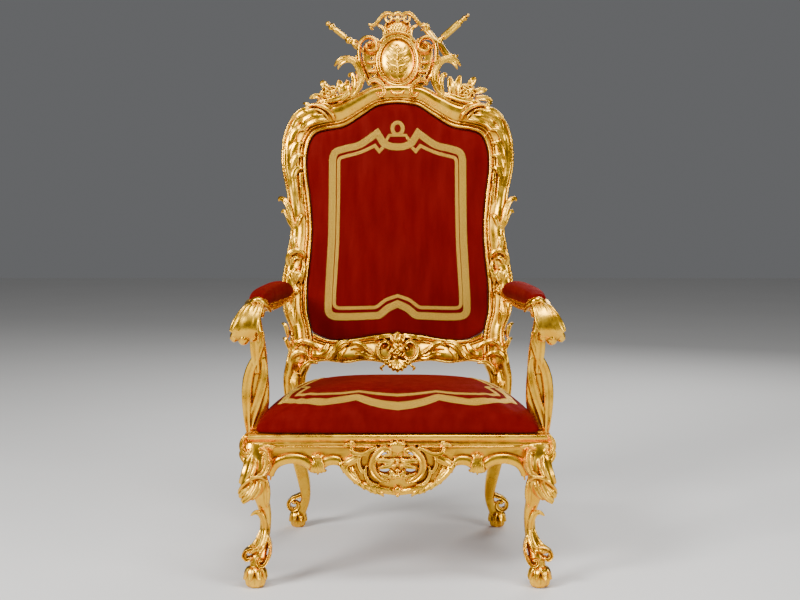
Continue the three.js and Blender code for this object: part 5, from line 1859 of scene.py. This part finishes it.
    def pad(self) -> Piece:
        """The left arm pad.

        Returns:
            The piece.
        """
        path = [(-336, 228, 752), (-347, 170, 758), (-360, 90, 760), (-374, -10, 759), (-385, -110, 758),
                (-390, -172, 756)]
        sizes = [(15, 19), (26, 28), (29, 30), (28, 30), (25, 28), (16, 22)]
        shells = [sweep(path, sizes, loop_section(40, 2.3), self.left, count=60)]
        obj = stuff("arm_pad_velvet_left", shells, upright, voxel=0.0035)
        puff(obj, most=0.004, triangles=14000)
        dress(obj, Finish.VELVET, ["arm_pad_left"])
        return obj

    def build(self) -> list[Piece]:
        """Both arms with their supports and pads.

        Returns:
            The pieces.
        """
        arm, support, pad = self.arm(), self.support(), self.pad()
        others = [mirrored_copy(arm, "arm_gilt_right", ["arm_right"]),
                  mirrored_copy(support, "arm_support_gilt_right", ["arm_support_right"]),
                  mirrored_copy(pad, "arm_pad_velvet_right", ["arm_pad_right"])]
        return [arm, support, pad] + others


# ------------------------------------------------------------------ velvet

CLOTH_TURNS = 20


def stuff(name: str, shells: Sequence[Shell], place: Change,
          voxel: float) -> Piece:
    """Skins fused into one pad, with even faces that cloth can move.

    Args:
        name: The pad's name.
        shells: Skins in millimetres.
        place: Carries the skins' points to the chair's drawing.
        voxel: Size of a face, in metres.

    Returns:
        The pad.
    """
    obj = as_object(name, shells, place)
    apply_modifier(obj, "REMESH", mode="VOXEL", voxel_size=voxel, use_smooth_shade=True)
    return obj


def puff(obj: Piece, most: float, triangles: int, pressure: float = 4.0,
         nailed: Change | None = None) -> None:
    """Swells a pad as cloth under pressure, holds the movement to a limit, and rounds it once.

    Args:
        obj: The pad, remeshed.
        most: Farthest that a point may move, in metres.
        triangles: Most triangles that the pad may keep.
        pressure: Air pressure inside the cloth.
        nailed: Tells of rows of points which ones are nailed down, or None.
    """
    start = coordinates(obj.data)
    alone(obj)
    cloth = obj.modifiers.new("cloth", "CLOTH")
    cloth.settings.use_pressure = True
    cloth.settings.uniform_pressure_force = pressure
    cloth.settings.effector_weights.gravity = 0
    if nailed is not None:
        group = obj.vertex_groups.new(name="nailed")
        group.add([int(i) for i in np.nonzero(nailed(start))[0]], 1.0, "REPLACE")
        cloth.settings.vertex_group_mass = "nailed"
    for turn in range(1, CLOTH_TURNS + 1):
        bpy.context.scene.frame_set(turn)
    bpy.ops.object.modifier_apply(modifier=cloth.name)
    bpy.context.scene.frame_set(1)
    moved = coordinates(obj.data) - start
    length = np.linalg.norm(moved, axis=1, keepdims=True)
    held = start + moved * np.minimum(1, most / np.maximum(length, 1e-9))
    obj.data.vertices.foreach_set("co", held.ravel())
    obj.data.update()
    apply_modifier(obj, "SMOOTH", factor=0.5, iterations=3)
    apply_modifier(obj, "SUBSURF", levels=1, render_levels=1)
    thin_out(obj, triangles)


@dataclass
class Upholstery:
    """The stuffed seat, the padded back and the cloth behind it."""

    rail: SeatFrame = field(default_factory=SeatFrame)
    frame: BackFrame = field(default_factory=BackFrame)
    crown: float = 113.0
    panel_mid_v: float = 560.0

    def seat(self) -> Piece:
        """The seat: crowned, tight at its nailed edge and full in the middle.

        Returns:
            The piece.
        """
        mid_y = (self.rail.front_y + self.rail.rear_y) / 2
        half_y = (self.rail.rear_y - self.rail.front_y) / 2 - 5
        low = DATUM.rail_top + 0.6
        s = np.sin(np.pi / 2 * np.linspace(-1, 1, 61))
        a, b = np.meshgrid(s, s, indexing="ij")
        corner = 1 - 0.035 * np.abs(a * b) ** 6
        y = mid_y + b * half_y * corner
        length = self.rail.rear_y - self.rail.front_y
        x = a * (self.rail.half_front - 15 + (mid_y + b * half_y - self.rail.front_y)
                 * (self.rail.half_rear - self.rail.half_front) / length) * corner
        across, along = (np.clip(1 - np.abs(k) ** 3, 0, 1) ** 0.4 for k in (a, b))
        z = low + 9 + (self.crown - 13) * across * along
        top = np.stack([x, y, z], axis=-1)
        rings = [np.concatenate([row, [[*row[-1][:2], low], [*row[0][:2], low]]]) for row in top]
        corners = ((-256, -1), (228, -1), (228, 1), (-256, 1))
        inner = [(side * (self.rail.side_x(y) - 44), y) for y, side in corners]
        webbing = board(inner, 0, 14).moved(lambda p: np.stack([p[:, 0], p[:, 2], low - 7 + p[:, 1]], axis=1))
        obj = stuff("seat_velvet", [skin(np.array(rings)), webbing], upright, voxel=0.0065)
        puff(obj, most=0.005, triangles=46000, pressure=3.0, nailed=lambda p: p[:, 2] < (low + 12) * MM)
        dress(obj, Finish.VELVET, ["seat_upholstery"])
        return obj

    def sight_outline(self) -> Rows:
        """The opening of the back frame.

        Returns:
            Rows of across and up, once round.
        """
        right = [self.frame.side.edges(np.linspace(0, len(self.frame.side.stations) - 1, 120))[0],
                 self.frame.lower.edges(np.linspace(5, 0, 30))[0]]
        lowest = right[1][0, 1]
        half = np.concatenate([right[0][right[0][:, 1] > lowest], right[1]])
        return np.concatenate([half, (half * [-1, 1])[::-1][1:-1]])

    def panel(self) -> Piece:
        """The padded back, rounded down into its frame.

        Returns:
            The piece.
        """
        ring = self.sight_outline()
        layers = []
        for share, depth in ((0.998, 28), (0.998, 8), (0.995, 0), (0.985, -3.5), (0.96, -6), (0.91, -8),
                             (0.7, -10.5), (0.4, -12)):
            v = self.panel_mid_v + (ring[:, 1] - self.panel_mid_v) * (1 - (1 - share) * 0.8)
            layers.append(np.stack([ring[:, 0] * share, np.full(len(ring), depth), v], axis=1))
        obj = stuff("back_velvet", [skin(np.array(layers))], DATUM.lean_back, voxel=0.006)
        origin, behind = DATUM.world(DATUM.lean_back(np.array([[0, -4.0, 500], [0, 96.0, 500]])))
        puff(obj, most=0.004, triangles=42000, pressure=2.0,
             nailed=lambda p: (p - origin) @ unit(behind - origin) > 0)
        dress(obj, Finish.VELVET, ["back_upholstery"])
        return obj

    def rear_cover(self) -> Piece:
        """The plain velvet on the rear of the back.

        Returns:
            The piece.
        """
        ring = self.sight_outline()
        layers = []
        for share, depth in ((0.998, 28.3), (0.998, 32.5), (0.99, 34.5), (0.965, 35.6), (0.7, 36)):
            v = self.panel_mid_v + (ring[:, 1] - self.panel_mid_v) * share
            layers.append(np.stack([ring[:, 0] * share, np.full(len(ring), depth), v], axis=1))
        obj = stuff("back_rear_cover_velvet", [skin(np.array(layers))], DATUM.lean_back, voxel=0.0028)
        apply_modifier(obj, "SMOOTH", factor=0.5, iterations=4)
        thin_out(obj, 18000)
        dress(obj, Finish.VELVET, ["back_rear_cover"])
        return obj

    def build(self) -> list[Piece]:
        """All the velvet but the arm pads."""
        return [self.seat(), self.panel(), self.rear_cover()]


# ------------------------------------------------------------------ braid

@dataclass
class Ribbon:
    """A flat woven ribbon laid along a line with mitred corners.

    Attributes:
        line: Corner points, across and up or across and back.
        width: Width of the ribbon.
        closed: Whether it runs back to its start.
    """

    line: Rows
    width: float
    closed: bool = False

    def offsets(self, share: float) -> Rows:
        """Corner points moved sideways.

        Args:
            share: How far, as a share of the width.

        Returns:
            The moved points.
        """
        p = self.line
        before = np.roll(p, 1, axis=0) if self.closed else np.concatenate([p[:1], p[:-1]])
        after = np.roll(p, -1, axis=0) if self.closed else np.concatenate([p[1:], p[-1:]])
        first, second = unit(p - before), unit(after - p)
        if not self.closed:
            first[0], second[-1] = second[0], first[-1]
        bisector = unit(first + second)
        reach = self.width * share / np.maximum(0.5, np.einsum("ij,ij->i", bisector, second))
        return p + np.stack([-bisector[:, 1], bisector[:, 0]], axis=1) * reach[:, None]

    def grid(self, pitch: float = 4.0) -> tuple[Rows, Rows, Rows]:
        """The ribbon's face in even steps.

        Args:
            pitch: Length of a step.

        Returns:
            Plan points, the length so far at each step, and the shares across.
        """
        shares = np.linspace(-0.5, 0.5, 11)
        rows = [self.offsets(s) for s in shares]
        ends = list(range(len(self.line))) + ([0] if self.closed else [])
        plan, length, so_far = [], [], 0.0
        for i, j in zip(ends[:-1], ends[1:]):
            gap = float(np.linalg.norm(self.line[j] - self.line[i]))
            count = max(2, int(gap / pitch))
            for k in range(count):
                t = k / count
                plan.append([row[i] * (1 - t) + row[j] * t for row in rows])
                length.append(so_far + gap * t)
            so_far += gap
        if not self.closed:
            plan.append([row[ends[-1]] for row in rows])
            length.append(so_far)
        return np.array(plan), np.array(length), shares


def lay_ribbon(name: str, ribbons: Sequence[Ribbon], velvet: Piece, node: str, lift: Callable,
               thick: float = 2.0) -> Piece:
    """Ribbons laid on velvet as closed strips with raised cords along both edges.

    Args:
        name: The piece's name.
        ribbons: The ribbons that make up the piece.
        velvet: What they lie on.
        node: The CAD node that they stand for.
        lift: Gives a plan point's place high above the velvet, and the way down to it.
        thick: Thickness of the braid, in millimetres.

    Returns:
        The piece.
    """
    tree = BVHTree.FromObject(velvet, bpy.context.evaluated_depsgraph_get())
    points, faces, coords = [], [], []
    for ribbon in ribbons:
        plan, length, shares = ribbon.grid()
        rows, columns = plan.shape[:2]
        edge = np.abs(shares) * 2
        swell = 0.35 + 0.65 * np.exp(-((edge - 0.86) / 0.12) ** 2) + 0.45 * np.exp(-(edge / 0.22) ** 2)
        swell = np.where(edge > 0.97, 0.3, swell)
        top, under = np.empty((rows, columns, 3)), np.empty((rows, columns, 3))
        for i in range(rows):
            for j in range(columns):
                above, down = lift(plan[i, j])
                hit, _, _, _ = tree.ray_cast(Vector(above), Vector(down), 0.5)
                spot = np.array(hit if hit else above)
                ripple = 1 + 0.12 * math.sin(length[i] * 1.6)
                top[i, j] = spot - np.array(down) * thick * MM * swell[j] * ripple
                under[i, j] = spot + np.array(down) * 0.4 * MM
        base = len(points)
        ring = np.concatenate([top, under[:, ::-1]], axis=1)
        across = np.concatenate([shares, shares[::-1]]) * ribbon.width * MM
        points += ring.reshape(-1, 3).tolist()
        loop = 2 * columns
        last = rows if ribbon.closed else rows - 1
        for i in range(last):
            j_next = (i + 1) % rows
            end = length[i] + (length[1] - length[0]) if j_next == 0 else length[j_next]
            for k in range(loop):
                n = (k + 1) % loop
                here, there = base + i * loop, base + j_next * loop
                faces.append((here + k, here + n, there + n, there + k))
                coords += [(length[i] * MM, across[k]), (length[i] * MM, across[n]), (end * MM, across[n]),
                           (end * MM, across[k])]
        if not ribbon.closed:
            for i, turned in ((0, True), (rows - 1, False)):
                cap = [base + i * loop + k for k in range(loop)]
                faces.append(tuple(cap[::-1] if turned else cap))
                coords += [(length[i] * MM, a) for a in (across[::-1] if turned else across)]
    mesh = bpy.data.meshes.new(name)
    mesh.from_pydata(points, [], faces)
    mesh.uv_layers.new(name=LENGTH_AND_WIDTH).data.foreach_set("uv", np.array(coords, dtype=np.float32).ravel())
    obj = bpy.data.objects.new(name, mesh)
    bpy.context.collection.objects.link(obj)
    alone(obj)
    bpy.ops.object.mode_set(mode="EDIT")
    bpy.ops.mesh.select_all(action="SELECT")
    bpy.ops.mesh.normals_make_consistent(inside=False)
    bpy.ops.object.mode_set(mode="OBJECT")
    bpy.ops.object.shade_smooth()
    return dress(obj, Finish.BRAID, [node])


def rounded(corners: Iterable[Point]) -> list[Point]:
    """A line whose corners are rounded.

    Args:
        corners: Rows of across, up and how far from the corner its round starts, 0 for a sharp one.

    Returns:
        The line's points.
    """
    rows = [np.array(row, float) for row in corners]
    made = []
    for k, row in enumerate(rows):
        at, reach = row[:2], row[2]
        if not reach or k in (0, len(rows) - 1):
            made.append(tuple(at))
            continue
        before, after = rows[k - 1][:2] - at, rows[k + 1][:2] - at
        start = at + before * min(0.48, reach / np.linalg.norm(before))
        end = at + after * min(0.48, reach / np.linalg.norm(after))
        made += [tuple(start * (1 - t) ** 2 + at * 2 * t * (1 - t) + end * t * t) for t in steps(7)]
    return made


def whole(half: Line, closed: bool) -> Rows:
    """A line made whole from its left half.

    Args:
        half: Points that end on the middle, and start on it where the line is closed.
        closed: Whether the line runs back to its start.

    Returns:
        Rows of across and up.
    """
    rows = np.array(half, float)
    other = (rows * [-1, 1])[::-1]
    return np.concatenate([rows, other[1:-1] if closed else other[1:]])


@dataclass
class Braids:
    """The gold braid on the back and the seat."""

    def on_back(self, plan: Rows) -> tuple[Rows, Rows]:
        """A place in front of the back panel.

        Args:
            plan: Across and up.

        Returns:
            The place, and the way back to the panel.
        """
        drawn = np.array([[plan[0], depth, plan[1]] for depth in (-80.0, 0.0)])
        here, there = DATUM.world(DATUM.lean_back(drawn))
        return here, unit(there - here)

    def on_seat(self, plan: Rows) -> tuple[Rows, Rows]:
        """A place above the seat, and the way down to it."""
        return DATUM.world(np.array([[plan[0], plan[1], 620.0]]))[0], np.array([0.0, 0.0, -1.0])

    def build(self, seat: Piece, panel: Piece) -> list[Piece]:
        """All the braid.

        Args:
            seat: The velvet seat.
            panel: The velvet back.

        Returns:
            The pieces.
        """
        outer = whole(rounded([(0, 800, 0), (-20, 801, 8), (-44, 811, 8), (-64, 845, 0), (-97, 820, 20),
                               (-122, 804, 14), (-165, 795, 20), (-203, 783, 30), (-203, 651, 40),
                               (-204, 520, 40), (-214, 320, 40), (-214, 270, 34), (-150, 269, 10),
                               (-56, 273, 10), (-30, 296, 10), (0, 309, 0)]), True)
        inner = whole(rounded([(-45, 799, 0), (-57, 786, 0), (-71, 804, 0), (-97, 791, 20), (-124, 780, 14),
                               (-165, 770, 20), (-184, 764, 16), (-184, 651, 40), (-186, 500, 40),
                               (-196, 325, 30), (-195, 296, 20), (-150, 296, 10), (-66, 298, 10),
                               (-36, 322, 10), (0, 334, 0)]), False)
        hoop = np.array([(16 * math.cos(a), 859 + 19.5 * math.sin(a)) for a in np.linspace(0, 2 * math.pi, 28,
                                                                                           False)])
        bar = np.array([(-36, 820), (-26, 837), (26, 837), (36, 820)], float)
        seat_outer = whole(rounded([(0, -260, 0), (-40, -256, 20), (-78, -246, 14), (-112, -230, 4),
                                    (-150, -238, 20), (-206, -243, 20), (-262, -228, 20), (-318, -192, 0),
                                    (-286, -104, 0), (-312, -62, 0), (-262, 40, 20), (-244, 110, 20),
                                    (-226, 159, 10), (0, 159, 0)]), True)
        seat_inner = whole(rounded([(0, -225, 0), (-40, -221, 20), (-76, -213, 14), (-106, -203, 4),
                                    (-156, -213, 20), (-213, -208, 20), (-278, -180, 0), (-250, -116, 0),
                                    (-276, -78, 0), (-232, 40, 20), (-216, 104, 20), (-204, 132, 8),
                                    (0, 132, 0)]), True)
        return [
            lay_ribbon("back_braid_wide", [Ribbon(outer, 22, True)], panel, "back_braid_outer", self.on_back),
            lay_ribbon("back_braid_narrow", [Ribbon(inner, 10)], panel, "back_braid_inner", self.on_back, 1.8),
            lay_ribbon("back_braid_ring", [Ribbon(hoop, 12, True), Ribbon(bar, 9)],
                       panel, "back_braid_loop", self.on_back, 2.2),
            lay_ribbon("seat_braid_wide", [Ribbon(seat_outer, 22, True)], seat, "seat_braid_outer",
                       self.on_seat),
            lay_ribbon("seat_braid_narrow", [Ribbon(seat_inner, 11, True)], seat, "seat_braid_inner",
                       self.on_seat, 1.8),
        ]


# ------------------------------------------------------------------ studio

@dataclass
class Studio:
    """Plain pale floor, soft lights and the camera."""

    lens: float = 62.9
    height: float = 1.074
    distance: float = 4.030
    tilt: float = math.radians(2.42)
    shift: tuple[float, float] = (0.003, -0.07)
    air: tuple = rgba(0.55, 0.56, 0.58)
    air_strength: float = 0.24

    def floor(self) -> None:
        """A wide plane under the chair."""
        bpy.ops.object.select_all(action="DESELECT")
        bpy.ops.mesh.primitive_plane_add(size=24)
        floor = bpy.context.active_object
        floor.name = "floor"
        floor.data.materials.append(FloorFinish().make())

    def light(self, name: str, place: Point, size: float, power: float, target: Point = (0, 0, 0.8)) -> None:
        """A square soft light aimed at the chair.

        Args:
            name: The light's name.
            place: Where it hangs.
            size: Side of the square.
            power: Power in watts.
            target: Where it aims.
        """
        data = bpy.data.lights.new(name, "AREA")
        data.size, data.energy = size, power
        lamp = bpy.data.objects.new(name, data)
        lamp.location = place
        lamp.rotation_euler = (Vector(target) - Vector(place)).to_track_quat("-Z", "Y").to_euler()
        bpy.context.collection.objects.link(lamp)

    def build(self) -> None:
        """Floor, lights, world and camera."""
        self.floor()
        world = bpy.data.worlds.new("soft_room")
        world.use_nodes = True
        air = world.node_tree.nodes["Background"]
        air.inputs["Color"].default_value = self.air
        air.inputs["Strength"].default_value = self.air_strength
        bpy.context.scene.world = world
        self.light("window_light", (-3.2, -3.2, 3.2), size=1.5, power=330)
        self.light("fill_light", (3.4, -3.0, 1.8), size=1.6, power=110)
        self.light("high_light", (0.4, -1.2, 4.2), size=1.6, power=130)
        self.light("rear_light", (1.5, 3.5, 3.0), size=2.0, power=90)
        data = bpy.data.cameras.new("camera")
        data.lens = self.lens
        data.shift_x, data.shift_y = self.shift
        camera = bpy.data.objects.new("camera", data)
        camera.location = (0, -self.distance + DATUM.shift_y * MM, self.height)
        camera.rotation_euler = (math.pi / 2 - self.tilt, 0, 0)
        bpy.context.collection.objects.link(camera)
        bpy.context.scene.camera = camera


def main() -> None:
    """Builds the chair piece by piece."""
    logging.basicConfig(level=logging.INFO, format="%(name)s: %(message)s")
    mix_finishes()
    for assembly in (Studio(), BackFrame(), Crest(), SeatFrame(), FrontLeg(), Arm()):
        assembly.build()
    seat, panel, _ = Upholstery().build()
    Braids().build(seat, panel)


if __name__ == "__main__":
    main()
